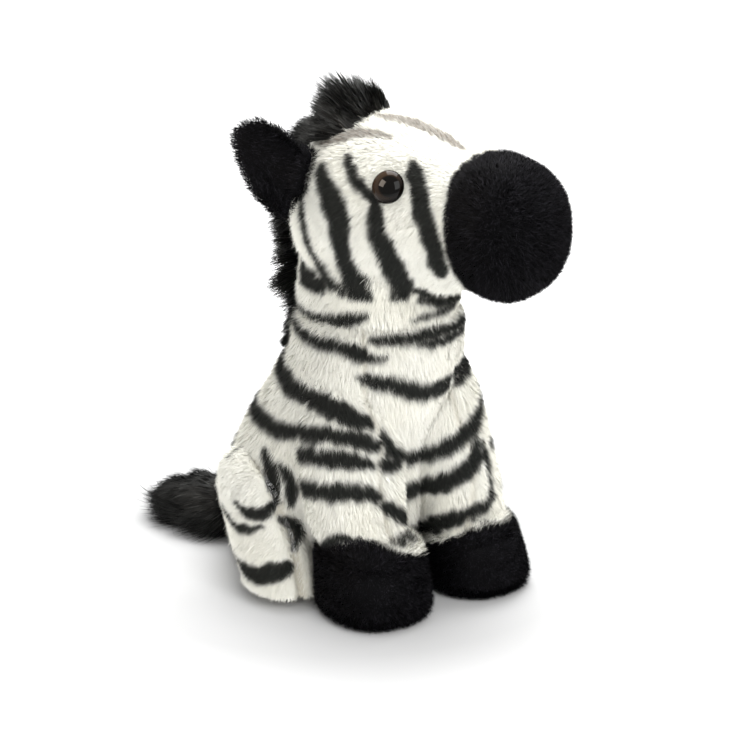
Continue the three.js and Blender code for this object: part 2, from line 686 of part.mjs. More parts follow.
function addHindLeg(side, name, forelegClearance) {
  const outward = (part) => side * (TORSO_SEAT.wide - part.inset);
  const row = (part) => [outward(part), part.y, part.height, part.wide, part.deep];
  const haunch = new SoftForm(
    [HAUNCH_TOP, HAUNCH_KNEE, HAUNCH_FOOT, { ...HAUNCH_FOOT, height: -PRESS }].map(row),
    { ends: [HAUNCH_ROUNDING, HAUNCH_SOLE_ROUNDING], blunt: [2, 2.8], sides: 20, rings: 6 },
  );
  const hipX = outward(HAUNCH_TOP) - side * HIND_PIVOT_INSET;
  const pivot = new THREE.Vector3(hipX, HAUNCH_TOP.y + HAUNCH_TOP.deep, 0);
  const limits = side < 0 ? [-HIND_SPLAY_ANGLE, 0] : [0, HIND_SPLAY_ANGLE];
  const obstacle = torsoClearance.add(forelegClearance);
  const clear = (body) => largest(clearOf(body, obstacle, pivot, Z, ...limits));

  const cover = haunch.body().subtract(haunch.body(-SKIN, LIMB_INNER_SIDES));
  add(`hind_leg_${name}`, clear(between(cover, HIND_SOLE + GAP)), IVORY);
  add(`hind_hoof_${name}`, clear(between(haunch.body(), 0, HIND_SOLE)), BLACK_PLUSH);
  const fill = haunch.body(-SKIN - GAP, LIMB_INNER_SIDES);
  add(`hind_leg_stuffing_${name}`, clear(between(fill, HIND_SOLE + GAP)), FIBRE_FILL);
}

// Tail

function addTail() {
  const row = (part, wide, tall) => [part.x, part.y, part.height, wide, tall];
  const sideways = new THREE.Vector3(TAIL_END.y - tailRoot.y, tailRoot.x - TAIL_END.x, 0).normalize();
  const tail = new SoftForm(
    [
      row({ ...TAIL_ROOT, y: tailRoot.y }, TAIL_ROOT_HALF, TAIL_ROOT_HALF),
      row(TAIL_BEND, TAIL_HALF, TAIL_BEND.height + PRESS),
      row(TAIL_BRUSH, TAIL_HALF, TAIL_BRUSH.height),
      row(TAIL_END, TAIL_TIP_HALF, TAIL_TIP_HALF),
    ],
    { ends: [TAIL_ROUNDING.root, TAIL_ROUNDING.tip], across: sideways, deep: Z, sides: 16, rings: 6 },
  );
  const resting = between(tail.body(), 0);
  const brush = clearOf(resting, torsoClearance, tailRoot, Z, -TAIL_SWING_ANGLE, TAIL_SWING_ANGLE);
  add('tail', largest(brush.add(ball(tailRoot, TAIL_ROOT_HALF))), CHARCOAL_PILE);
}

addTorso();
addHead();
addMane();
for (const [side, name] of [[-1, 'right'], [1, 'left']]) {
  const forelegClearance = addForeleg(side, name);
  addHindLeg(side, name, forelegClearance);
}
addTail();

export default zebra;
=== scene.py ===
"""Plush zebra: sewn skins, printed pile, long mane and tail, glossy eyes, floor, lamps and camera.

Shapes are worked out in millimetres as whole numpy arrays and put into Blender in metres. The zebra
faces -Y and its right side is at -X. Head pieces are worked out in the head's own frame, whose origin
is the neck's centre and whose -Y is straight ahead, and are then turned and placed on the neck.
"""

import logging
import math
from collections.abc import Callable
from dataclasses import dataclass
from enum import Enum
from functools import cached_property

import bpy
import numpy as np
from mathutils import Matrix

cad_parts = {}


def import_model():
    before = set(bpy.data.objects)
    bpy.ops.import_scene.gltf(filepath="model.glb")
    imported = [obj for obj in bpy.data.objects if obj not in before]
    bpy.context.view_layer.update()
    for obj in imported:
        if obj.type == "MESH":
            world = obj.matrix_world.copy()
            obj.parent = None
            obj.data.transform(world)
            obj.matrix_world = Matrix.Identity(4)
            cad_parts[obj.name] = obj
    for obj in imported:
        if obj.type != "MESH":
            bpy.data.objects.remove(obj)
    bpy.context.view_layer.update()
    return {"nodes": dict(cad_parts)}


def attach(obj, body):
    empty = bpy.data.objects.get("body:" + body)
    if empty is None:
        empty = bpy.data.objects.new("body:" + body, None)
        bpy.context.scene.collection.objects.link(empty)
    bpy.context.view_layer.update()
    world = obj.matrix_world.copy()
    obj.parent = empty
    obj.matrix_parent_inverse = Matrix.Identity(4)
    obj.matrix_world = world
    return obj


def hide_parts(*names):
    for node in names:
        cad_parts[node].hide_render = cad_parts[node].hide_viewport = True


logging.basicConfig(level=logging.INFO, format="%(message)s")
LOG = logging.getLogger("zebra")

Array = np.ndarray
# Places in millimetres and the triangles between them
Mesh = tuple[Array, Array]
Point = tuple[float, float, float]
# Positions from 0 to 1 on a colour ramp, and the colours there
Stops = tuple[tuple[float, Point], ...]
# What an input of a shader node takes
Feed = float | tuple[float, ...] | bpy.types.NodeSocket

MM = 0.001
COLOUR_LAYER = "pile_colour"
# Depth of the skins below the forms, which is what the pile on them fills
INSET = 3.3
# Growth of the hooves' and the muzzle's skins, whose plush is shorter
HOOF_GROW = -INSET + 0.4
MUZZLE_GROW = -INSET + 0.6
# Depth of the fold between the haunch and its inner side
CREASE = 2.4
# Millimetres by which the ink has spread beyond the drawn stripe
BLEED = 0.3
# Growth at which a limb's skin lies on the skin of the form that it is sewn to
HUG = -2.8
# Growth of the sewn form at which the filling inside, with a little air, ends
CORE = -3.9
# Depth below the skin at which a strand is rooted
ROOT_DEPTH = 0.4
# Centre and radius of the ball that the head turns on, and the head's turn to its left in degrees
NECK = np.array([0.0, -35.0, 131.0])
NECK_RADIUS = 38.0
HEAD_TURN = 16.0
# Millimetres from the start of the head's centre line to the neck's centre
HEAD_BEHIND = 37.0
# Degrees up the head's side, millimetres ahead of the neck's centre and depth of an eye's middle
EYE_ANGLE = 27.0
EYE_FORWARD = 31.0
EYE_SUNK = 1.2
# Least height of a strand or skin above the ground
FLOOR_CLEARANCE = 0.3


class Side(Enum):
    """The zebra's own right and left, with the sign of x."""

    RIGHT = -1
    LEFT = 1

    @property
    def label(self) -> str:
        """The side's name as the CAD nodes spell it."""
        return self.name.lower()


class Tone(Enum):
    """Inks printed on the pile."""

    CHARCOAL = "charcoal"
    TAUPE = "taupe"


# Small mathematics


def unit(vectors: Array) -> Array:
    """Scales each vector to length one.

    Args:
        vectors: Vectors, one in each row.

    Returns:
        The unit vectors, where a zero vector stays zero.
    """
    length = np.linalg.norm(vectors, axis=-1, keepdims=True)
    return vectors / np.where(length < 1e-9, 1.0, length)


def tangential(vectors: Array, normals: Array) -> Array:
    """Takes from each vector its part along the normal, so that it lies in the surface."""
    return vectors - normals * (vectors * normals).sum(-1, keepdims=True)


def rising(values: Array, start: float, end: float) -> Array:
    """From 0 at the start in a straight line to 1 at the end, and level beyond them."""
    return np.clip((values - start) / (end - start), 0, 1)


def bell(values: Array, width: float) -> Array:
    """One at zero, falling off over a width to either side by the exponential of minus the square."""
    return np.exp(-((values / width) ** 2))


def catmull_rom(points: Array, count: int, open_ends: bool) -> Array:
    """Samples a smooth curve through points, each span a cubic with half the chord of its neighbours as slope.

    Args:
        points: The points that the curve passes through, one in each row.
        count: Number of samples over the whole curve.
        open_ends: True to continue the end spans straight, False to repeat the end points.

    Returns:
        The samples, evenly spaced in the spans' own parameter.
    """
    before = 2 * points[0] - points[1] if open_ends else points[0]
    after = 2 * points[-1] - points[-2] if open_ends else points[-1]
    padded = np.vstack([before, points, after])
    place = np.linspace(0, len(points) - 1, count)
    span = np.minimum(place.astype(int), len(points) - 2)
    s = (place - span)[:, None]
    p0, p1, p2, p3 = (padded[span + k] for k in range(4))
    slope_1, slope_2 = (p2 - p0) / 2, (p3 - p1) / 2
    return (
        (2 * s**3 - 3 * s**2 + 1) * p1
        + (s**3 - 2 * s**2 + s) * slope_1
        + (3 * s**2 - 2 * s**3) * p2
        + (s**3 - s**2) * slope_2
    )


def ripple(points: Array, size: float, seed: int) -> Array:
    """Smooth noise: the mean of eight sine waves of random directions, lengths and phases.

    Args:
        points: Places in millimetres, one in each row.
        size: Length of a typical wave in millimetres.
        seed: Seed of the random waves.

    Returns:
        One value for each place, mostly between -1 and 1.
    """
    rng = np.random.default_rng(seed)
    waves = unit(rng.normal(size=(8, 3))) * (2 * math.pi / size) * rng.uniform(0.6, 1.6, (8, 1))
    phases = rng.uniform(0, 2 * math.pi, 8)
    return np.sin(points @ waves.T + phases).sum(1) / 2.8


def cell_centres(points: Array, size: float, seed: int) -> tuple[Array, Array]:
    """Finds the lock that each place belongs to: a cubic lattice whose cell centres are shifted at random.

    Args:
        points: Places in millimetres, one in each row.
        size: Edge of a cell in millimetres.
        seed: Seed of the shifts.

    Returns:
        The centre of each place's lock, and a random number from 0 to 1 that is the same all over a lock.
    """
    warped = points + 0.35 * size * np.stack(
        [ripple(points, 3.1 * size, seed + k) for k in (1, 2, 3)], axis=1
    )
    cell = np.floor(warped / size)
    rolls = []
    for k in range(4):
        mixed = cell @ np.array([12.9898, 78.233, 37.719]) + 17.31 * k + seed
        rolls.append(np.modf(np.abs(np.sin(mixed)) * 43758.5453)[0])
    centre = (cell + 0.5 + 0.6 * (np.stack(rolls[:3], axis=1) - 0.5)) * size
    return centre, rolls[3]


def head_to_world(points: Array) -> Array:
    """Turns places from the head's frame about Z by the head's turn and sets them on the neck."""
    return vectors_to_world(points) + NECK


def vectors_to_world(vectors: Array) -> Array:
    """Turns directions from the head's frame about Z by the head's turn."""
    c, s = math.cos(math.radians(HEAD_TURN)), math.sin(math.radians(HEAD_TURN))
    return vectors @ np.array([[c, s, 0.0], [-s, c, 0.0], [0.0, 0.0, 1.0]])


def world_to_head(points: Array) -> Array:
    """Takes places into the head's frame, the reverse of head_to_world."""
    c, s = math.cos(math.radians(HEAD_TURN)), math.sin(math.radians(HEAD_TURN))
    return (points - NECK) @ np.array([[c, -s, 0.0], [s, c, 0.0], [0.0, 0.0, 1.0]])


# Stuffed forms


@dataclass(frozen=True)
class SoftForm:
    """A stuffed form: rings along a curved centre line that swell, taper and close in round ends."""

    # Stations of centre x, y, z, half width and half depth
    rows: tuple[tuple[float, float, float, float, float], ...]
    # Lengths over which the two ends close, and how squarely, 2 for a round one
    ends: tuple[float, float]
    blunt: tuple[float, float] = (2.0, 2.0)
    # Directions of the rings' width and depth, and how square they are, 2 for an ellipse
    across: Point = (1.0, 0.0, 0.0)
    deep: Point = (0.0, 1.0, 0.0)
    square: float = 2.0

    @cached_property
    def samples(self) -> tuple[Array, Array, Array]:
        """The centre line, sampled closely enough to be read off between the samples.

        Returns:
            Distances along it, the centres there and the half sizes there.
        """
        rows = np.array(self.rows, float)
        centres = catmull_rom(rows[:, :3], 800, True)
        sizes = catmull_rom(rows[:, 3:], 800, False)
        steps = np.linalg.norm(np.diff(centres, axis=0), axis=1)
        return np.concatenate([[0.0], np.cumsum(steps)]), centres, sizes

    @cached_property
    def length(self) -> float:
        """Length of the centre line."""
        return float(self.samples[0][-1])

    @cached_property
    def axes(self) -> tuple[Array, Array, Array]:
        """Unit directions of the form's rings.

        Returns:
            The directions of their width and depth, and the axis that they stand on.
        """
        across, deep = np.array(self.across), np.array(self.deep)
        axis = np.cross(across, deep)
        centres = self.samples[1]
        return across, deep, axis * np.sign(axis @ (centres[-1] - centres[0]))

    def station(self, distance: Array, grow: float) -> tuple[Array, Array, Array]:
        """Centre and half sizes of the rings, which shrink to nothing over the round ends.

        Args:
            distance: Distances along the centre line.
            grow: Clearance by which the form is grown, or shrunk where it is negative.

        Returns:
            The centres, the half widths and the half depths.
        """
        along, centres, sizes = self.samples
        inside = np.clip(distance, 0, self.length)
        centre = np.stack([np.interp(inside, along, centres[:, k]) for k in range(3)], axis=-1)
        first, last = unit(centres[1] - centres[0]), unit(centres[-1] - centres[-2])
        beyond = (distance - inside)[..., None]
        centre = centre + np.where(beyond < 0, beyond * first, beyond * last)
        wide, deep = (np.interp(inside, along, sizes[:, k]) + grow for k in range(2))
        start, end = (max(e + grow, 1.0) for e in self.ends)
        shares = (distance + grow) / start, (self.length + grow - distance) / end
        rounding = 1.0
        for share, blunt in zip(shares, self.blunt):
            rounding = rounding * (1 - (1 - np.clip(share, 0, 1)) ** blunt) ** (1 / blunt)
        return centre, wide * rounding, deep * rounding

    def point(self, distance: Array, angle: Array, grow: float = 0.0) -> Array:
        """Places on the surface: a superellipse of the half sizes round the centre line.

        Args:
            distance: Distances along the centre line.
            angle: Angles round it in radians, from the width's direction to the depth's.
            grow: Clearance by which the form is grown.

        Returns:
            The places, in millimetres.
        """
        distance, angle = np.broadcast_arrays(np.asarray(distance, float), np.asarray(angle, float))
        centre, wide, deep = self.station(distance, grow)
        c, s = np.cos(angle), np.sin(angle)
        power = 2 / self.square
        u = (wide * np.sign(c) * np.abs(c) ** power)[..., None]
        v = (deep * np.sign(s) * np.abs(s) ** power)[..., None]
        return centre + u * self.axes[0] + v * self.axes[1]

    def normal(self, distance: float, angle: float) -> Array:
        """Direction that points out of the surface: square to the changes along and round the form.

        Args:
            distance: Distance along the centre line.
            angle: Angle round it in radians.

        Returns:
            The unit direction.
        """
        along = self.point(distance + 0.5, angle) - self.point(distance - 0.5, angle)
        turn = self.point(distance, angle + 0.02) - self.point(distance, angle - 0.02)
        out = unit(np.cross(turn, along))
        away = self.point(distance, angle) - self.station(np.array(distance), 0.0)[0]
        return out if out @ away > 0 else -out

    def surface(self, grow: float = 0.0, rings: int = 40, sides: int = 56) -> Mesh:
        """The closed skin: rings of places joined by triangles, with a pole at each end.

        Args:
            grow: Clearance by which the form is grown, or shrunk where it is negative.
            rings: Number of rings between the round ends.
            sides: Number of places round each ring.

        Returns:
            The places and the triangles, facing outward.
        """
        start, end = (max(e + grow, 1.0) for e in self.ends)
        arc = 1 - np.cos(np.linspace(0.12, 0.9, 8) * math.pi / 2)
        distance = np.concatenate([
            -grow + arc * start,
            np.linspace(start - grow, self.length + grow - end, rings),
            (self.length + grow - arc * end)[::-1],
        ])
        angle = np.linspace(0, 2 * math.pi, sides, endpoint=False)
        grid = self.point(distance[:, None], angle[None, :], grow)
        poles = self.station(np.array([-grow, self.length + grow]), grow)[0]
        return closed_tube(grid, poles)

    def locate(self, points: Array) -> tuple[Array, Array, Array]:
        """Finds the ring that each place lies on, by its height on the rings' axis.

        Args:
            points: Places in millimetres.

        Returns:
            Distances along the centre line, and the offsets along the ring's width and depth.
        """
        across, deep, axis = self.axes
        distance = np.linspace(-40, self.length + 40, 900)
        centre = self.station(distance, 0.0)[0]
        found = np.interp(points @ axis, centre @ axis, distance)
        away = points - self.station(found, 0.0)[0]
        return found, away @ across, away @ deep

    def depth(self, points: Array, grow: float = 0.0) -> Array:
        """How far out each place is, by the superellipse of its ring.

        Args:
            points: Places in millimetres.
            grow: Clearance by which the form is grown.

        Returns:
            Below 1 inside the grown form, 1 on its surface and above 1 outside.
        """
        found, u, v = self.locate(points)
        _, wide, deep = self.station(found, grow)
        small = 1e-3
        ratio = np.abs(u / np.maximum(wide, small)) ** self.square
        return (ratio + np.abs(v / np.maximum(deep, small)) ** self.square) ** (1 / self.square)

    def outside(self, points: Array, grow: float) -> Array:
        """Which places are outside the grown form or on its surface."""
        return self.depth(points, grow) >= 1

    def pushed_out(self, points: Array, grow: float) -> Array:
        """Moves the places inside the grown form outward in their rings, onto its surface.

        Args:
            points: Places in millimetres.
            grow: Clearance by which the form is grown.

        Returns:
            The moved places.
        """
        _, u, v = self.locate(points)
        ratio = self.depth(points, grow)
        factor = np.where(ratio < 1, 1 / np.maximum(ratio, 0.05), 1.0)[:, None]
        across, deep, _ = self.axes
        return points + (factor - 1) * (u[:, None] * across + v[:, None] * deep)


def closed_tube(grid: Array, poles: Array) -> Mesh:
    """Joins a grid of rings into a closed skin with a pole at each end.

    Args:
        grid: Places, ring by ring, of shape rings, sides, 3.
        poles: The two end places.

    Returns:
        The places and the triangles, facing outward.
    """
    rings, sides = grid.shape[:2]
    index = np.arange(rings * sides).reshape(rings, sides)
    a, b = index[:-1], np.roll(index[:-1], -1, axis=1)
    c, d = index[1:], np.roll(index[1:], -1, axis=1)
    walls = [np.stack([a, b, d], -1).reshape(-1, 3), np.stack([a, d, c], -1).reshape(-1, 3)]
    first, last = rings * sides, rings * sides + 1
    turn = np.roll(np.arange(sides), -1)
    caps = [
        np.stack([np.full(sides, first), index[0][turn], index[0]], -1),
        np.stack([np.full(sides, last), index[-1], index[-1][turn]], -1),
    ]
    points = np.vstack([grid.reshape(-1, 3), poles])
    faces = np.vstack(walls + caps)
    corners = points[faces]
    volume = np.einsum("ij,ij->i", corners[:, 0], np.cross(corners[:, 1], corners[:, 2])).sum()
    return points, faces if volume > 0 else faces[:, ::-1]


def vertex_normals(points: Array, faces: Array) -> Array:
    """Mean of the faces' normals round each place, weighted by their areas.

    Args:
        points: Places of the skin.
        faces: Triangles of the skin.

    Returns:
        A unit vector for each place.
    """
    corners = points[faces]
    across = np.cross(corners[:, 1] - corners[:, 0], corners[:, 2] - corners[:, 0])
    total = np.zeros_like(points)
    for k in range(3):
        np.add.at(total, faces[:, k], across)
    return unit(total)


def smoothed(points: Array, faces: Array, rounds: int) -> Array:
    """Moves each place half way to the mean of its neighbours, and back a little less, so nothing shrinks.

    Args:
        points: Places of the skin.
        faces: Triangles of the skin.
        rounds: Number of times that it is done.

    Returns:
        The moved places.
    """
    pairs = np.vstack([faces[:, [0, 1]], faces[:, [1, 2]], faces[:, [2, 0]]])
    count = np.bincount(pairs.ravel(), minlength=len(points))[:, None]
    for step in range(2 * rounds):
        total = np.zeros_like(points)
        np.add.at(total, pairs[:, 0], points[pairs[:, 1]])
        np.add.at(total, pairs[:, 1], points[pairs[:, 0]])
        points = points + (0.5, -0.45)[step % 2] * (total / count - points)
    return points


# Meshes in Blender


def put_mesh(name: str, points: Array, faces: Array, smooth: bool = True) -> bpy.types.Object:
    """Puts triangles into a new object at the origin.

    Args:
        name: Name of the piece.
        points: Places in millimetres.
        faces: Triangles.
        smooth: True for smooth shading.

    Returns:
        The new object, linked to the scene.
    """
    mesh = bpy.data.meshes.new(name)
    mesh.vertices.add(len(points))
    mesh.vertices.foreach_set("co", (points * MM).astype(np.float32).ravel())
    mesh.loops.add(faces.size)
    mesh.loops.foreach_set("vertex_index", faces.astype(np.int32).ravel())
    mesh.polygons.add(len(faces))
    mesh.polygons.foreach_set("loop_start", np.arange(0, faces.size, 3, dtype=np.int32))
    mesh.polygons.foreach_set("use_smooth", np.full(len(faces), smooth))
    mesh.update(calc_edges=True)
    piece = bpy.data.objects.new(name, mesh)
    bpy.context.scene.collection.objects.link(piece)
    return piece


def set_colours(piece: bpy.types.Object, colours: Array) -> None:
    """Writes a colour to each vertex, which the piece's material reads by the layer's name.

    Args:
        piece: The piece.
        colours: Red, green and blue of each vertex, or of all.
    """
    layer = piece.data.color_attributes.new(COLOUR_LAYER, "BYTE_COLOR", "POINT")
    count = len(piece.data.vertices)
    rgba = np.concatenate([np.broadcast_to(colours, (count, 3)), np.ones((count, 1))], axis=1)
    layer.data.foreach_set("color", rgba.astype(np.float32).ravel())


def fused(parts: list[Mesh], voxel: float, rounds: int) -> Mesh:
    """Sews overlapping closed forms into one skin: a voxel remesh of all of them, then smoothed.

    Args:
        parts: The forms' places and triangles, in millimetres.
        voxel: Edge of a voxel in millimetres.
        rounds: Rounds of smoothing.

    Returns:
        The places and triangles of the one skin.
    """
    offsets = np.cumsum([0] + [len(points) for points, _ in parts])
    points = np.vstack([p for p, _ in parts])
    faces = np.vstack([f + offset for (_, f), offset in zip(parts, offsets)])
    rough = put_mesh("rough_form", points, faces)
    remesh = rough.modifiers.new("remesh", "REMESH")
    remesh.mode = "VOXEL"
    remesh.voxel_size = voxel * MM
    made = rough.evaluated_get(bpy.context.evaluated_depsgraph_get()).to_mesh()
    made.calc_loop_triangles()
    new_points = np.empty(len(made.vertices) * 3, np.float32)
    made.vertices.foreach_get("co", new_points)
    new_faces = np.empty(len(made.loop_triangles) * 3, np.int32)
    made.loop_triangles.foreach_get("vertices", new_faces)
    old = rough.data
    bpy.data.objects.remove(rough)
    bpy.data.meshes.remove(old)
    new_points = new_points.reshape(-1, 3).astype(float) / MM
    new_faces = new_faces.reshape(-1, 3)
    return smoothed(new_points, new_faces, rounds), new_faces


# Finishes


def new_material(name: str) -> tuple[bpy.types.Material, bpy.types.NodeTree, bpy.types.Node]:
    """Makes a material that still has the shader's plain values.

    Args:
        name: Name of the material.

    Returns:
        The material, its node tree and its shader.
    """
    made = bpy.data.materials.new(name)
    made.use_nodes = True
    return made, made.node_tree, made.node_tree.nodes["Principled BSDF"]


def add_node(
    tree: bpy.types.NodeTree, kind: str, inputs: dict[str | int, Feed], operation: str = ""
) -> bpy.types.Node:
    """Adds a shader node and feeds its inputs.

    Args:
        tree: The node tree.
        kind: The node's type, without its common first word.
        inputs: A value or a socket for each input, by its name or number.
        operation: The operation of a node that has several.

    Returns:
        The node.
    """
    node = tree.nodes.new(f"ShaderNode{kind}")
    if operation:
        node.operation = operation
    for name, feed in inputs.items():
        if isinstance(feed, bpy.types.NodeSocket):
            tree.links.new(feed, node.inputs[name])
        else:
            node.inputs[name].default_value = feed
    return node


@dataclass(frozen=True)
class PileFinish:
    """Plush pile, whose colour is written on each strand or skin place, and the record's slot for it."""

    name: str
    slot: str
    roughness: float
    gloss: float
    # Noise waves in a metre, and the shares of the written colour between which they vary it
    grain: float = 900.0
    spread: tuple[float, float] = (0.9, 1.08)

    def material(self) -> bpy.types.Material:
        """Builds the material once: the written colour, lightened and darkened by fine noise.

        Returns:
            The material, the same one each time.
        """
        known = bpy.data.materials.get(self.name)
        if known:
            return known
        made, tree, shader = new_material(self.name)
        shader.inputs["Roughness"].default_value = self.roughness
        shader.inputs["Specular IOR Level"].default_value = self.gloss
        colour = add_node(tree, "Attribute", {})
        colour.attribute_name = COLOUR_LAYER
        place = add_node(tree, "TexCoord", {}).outputs["Object"]
        noise = add_node(tree, "TexNoise", {"Vector": place, "Scale": self.grain, "Detail": 2.0})
        least, most = self.spread
        share = add_node(tree, "MapRange", {"Value": noise.outputs["Fac"], "To Min": least, "To Max": most})
        scaled = add_node(
            tree, "VectorMath", {0: colour.outputs["Color"], "Scale": share.outputs["Result"]}, "SCALE"
        )
        tree.links.new(scaled.outputs["Vector"], shader.inputs["Base Color"])
        return made


IVORY_PILE = PileFinish("ivory_pile", "ivory_plush", roughness=0.8, gloss=0.15)
BLACK_PLUSH = PileFinish("black_plush_pile", "black_plush", roughness=0.7, gloss=0.06)
CHARCOAL_HAIR = PileFinish("charcoal_hair", "charcoal_pile", roughness=0.55, gloss=0.12)

IVORY = np.array([0.912, 0.902, 0.83])
IVORY_DEEP = np.array([0.865, 0.846, 0.743])
CHARCOAL = np.array([0.0140, 0.0150, 0.0132])
TAUPE = np.array([0.20, 0.168, 0.138])
BLACK = np.array([0.0040, 0.0038, 0.0046])
HAIR = np.array([0.0300, 0.0303, 0.0285])
# Share of the pile's colour that the skin under it, and an ear's lining, is painted with, a painted shade of the
# pile's depth
PLUSH_DEPTH_SHADE = 0.8
HAIR_DEPTH_SHADE = 0.7
LINING_DEPTH_SHADE = 0.6


@dataclass(frozen=True)
class ClothFinish:
    """Plain materials of the pieces inside: fibre filling, pellet cloth and washer plastic."""

    name: str
    light: Point
    dark: Point
    # Noise waves in a metre
    scale: float
    roughness: float
    # Height of the relief in metres
    bump: float

    def material(self) -> bpy.types.Material:
        """Builds the material: noise mixes the two colours and raises the surface.

        Returns:
            The material.
        """
        made, tree, shader = new_material(self.name)
        shader.inputs["Roughness"].default_value = self.roughness
        place = add_node(tree, "TexCoord", {}).outputs["Object"]
        noise = add_node(tree, "TexNoise", {"Vector": place, "Scale": self.scale, "Detail": 6.0})
        tones = add_node(tree, "ValToRGB", {"Fac": noise.outputs["Fac"]})
        tones.color_ramp.elements[0].color = (*self.dark, 1)
        tones.color_ramp.elements[1].color = (*self.light, 1)
        tree.links.new(tones.outputs["Color"], shader.inputs["Base Color"])
        bump = add_node(tree, "Bump", {"Distance": self.bump, "Height": noise.outputs["Fac"]})
        tree.links.new(bump.outputs["Normal"], shader.inputs["Normal"])
        return made


@dataclass(frozen=True)
class EyeFinish:
    """A brown iris round a black pupil under a clear gloss, by the distance from the eye's axis."""

    name: str
    # The eye's centre in the world, the direction that it faces and the nose's direction, square to that
    centre: Array
    out: Array
    ahead: Array
    radius: float
    slot: str = "eye_plastic"
    # Colours of the iris, and the shares of them that the pupil leaves, by the share of the radius
    iris: Stops = (
        (0.0, (0.026, 0.0145, 0.0075)),
        (0.8, (0.024, 0.0135, 0.007)),
        (0.93, (0.012, 0.007, 0.0045)),
        (1.0, (0.004, 0.003, 0.003)),
    )
    pupil: Stops = ((0.0, (0.05, 0.05, 0.05)), (0.58, (0.07, 0.07, 0.07)), (0.72, (1.0, 1.0, 1.0)))
    # Millimetres by which the pupil's middle stands ahead of the iris's and below it
    pupil_ahead: float = 2.2
    pupil_low: float = 0.2
    # Shares of the colour at the iris's dark and light edges, which paint light onto it from above and behind
    painted_light: tuple[float, float] = (0.06, 1.45)

    def offset(self, tree: bpy.types.NodeTree, middle: Array) -> bpy.types.NodeSocket:
        """The shaded place less a middle, which is given in millimetres."""
        place = add_node(tree, "TexCoord", {}).outputs["Object"]
        return add_node(tree, "VectorMath", {0: place, 1: tuple(middle * MM)}, "SUBTRACT").outputs["Vector"]

    def rings(self, tree: bpy.types.NodeTree, middle: Array, stops: Stops) -> bpy.types.NodeSocket:
        """Colours by the share of the radius at which a place lies from the axis through a middle.

        Args:
            tree: The material's node tree.
            middle: A place on the axis, in millimetres.
            stops: Shares of the radius and the colours there.

        Returns:
            The colour.
        """
        axis = add_node(tree, "VectorMath", {0: self.offset(tree, middle), 1: tuple(self.out)}, "CROSS_PRODUCT")
        away = add_node(tree, "VectorMath", {0: axis.outputs["Vector"]}, "LENGTH").outputs["Value"]
        share = add_node(tree, "MapRange", {"Value": away, "From Max": self.radius * MM})
        tones = add_node(tree, "ValToRGB", {"Fac": share.outputs["Result"]})
        elements = tones.color_ramp.elements
        for k, (where, tone) in enumerate(stops):
            stop = elements[k] if k < 2 else elements.new(where)
            stop.position, stop.color = where, (*tone, 1)
        return tones.outputs["Color"]

    def material(self) -> bpy.types.Material:
        """Builds the material: the iris's rings, darkened by the pupil, with painted light from above and behind.

        Returns:
            The material.
        """
        made, tree, shader = new_material(self.name)
        shader.inputs["Roughness"].default_value = 0.05
        shader.inputs["Specular IOR Level"].default_value = 0.12
        upward = np.array([0.0, 0.0, 1.0])
        middle = self.centre + self.pupil_ahead * self.ahead - self.pupil_low * upward
        iris, pupil = self.rings(tree, self.centre, self.iris), self.rings(tree, middle, self.pupil)
        # Painted light: the iris is brighter toward its upper back edge and darker toward its lower front
        light_side = tuple(unit(upward - 0.6 * self.ahead))
        slant = add_node(tree, "VectorMath", {0: self.offset(tree, self.centre), 1: light_side}, "DOT_PRODUCT")
        reach = self.radius * MM
        span = {"From Min": -reach, "From Max": reach, "To Min": self.painted_light[0], "To Max": self.painted_light[1]}
        painted_light = add_node(tree, "MapRange", {"Value": slant.outputs["Value"], **span}).outputs["Result"]
        both = add_node(tree, "VectorMath", {0: iris, 1: pupil}, "MULTIPLY").outputs["Vector"]
        lit = add_node(tree, "VectorMath", {0: both, "Scale": painted_light}, "SCALE")
        tree.links.new(lit.outputs["Vector"], shader.inputs["Base Color"])
        return made


# Printed stripes


@dataclass(frozen=True)
class Band:
    """One printed stripe: rows of degrees round the form, millimetres along it and the half width there."""

    path: tuple[tuple[float, float, float], ...]
    tone: Tone = Tone.CHARCOAL


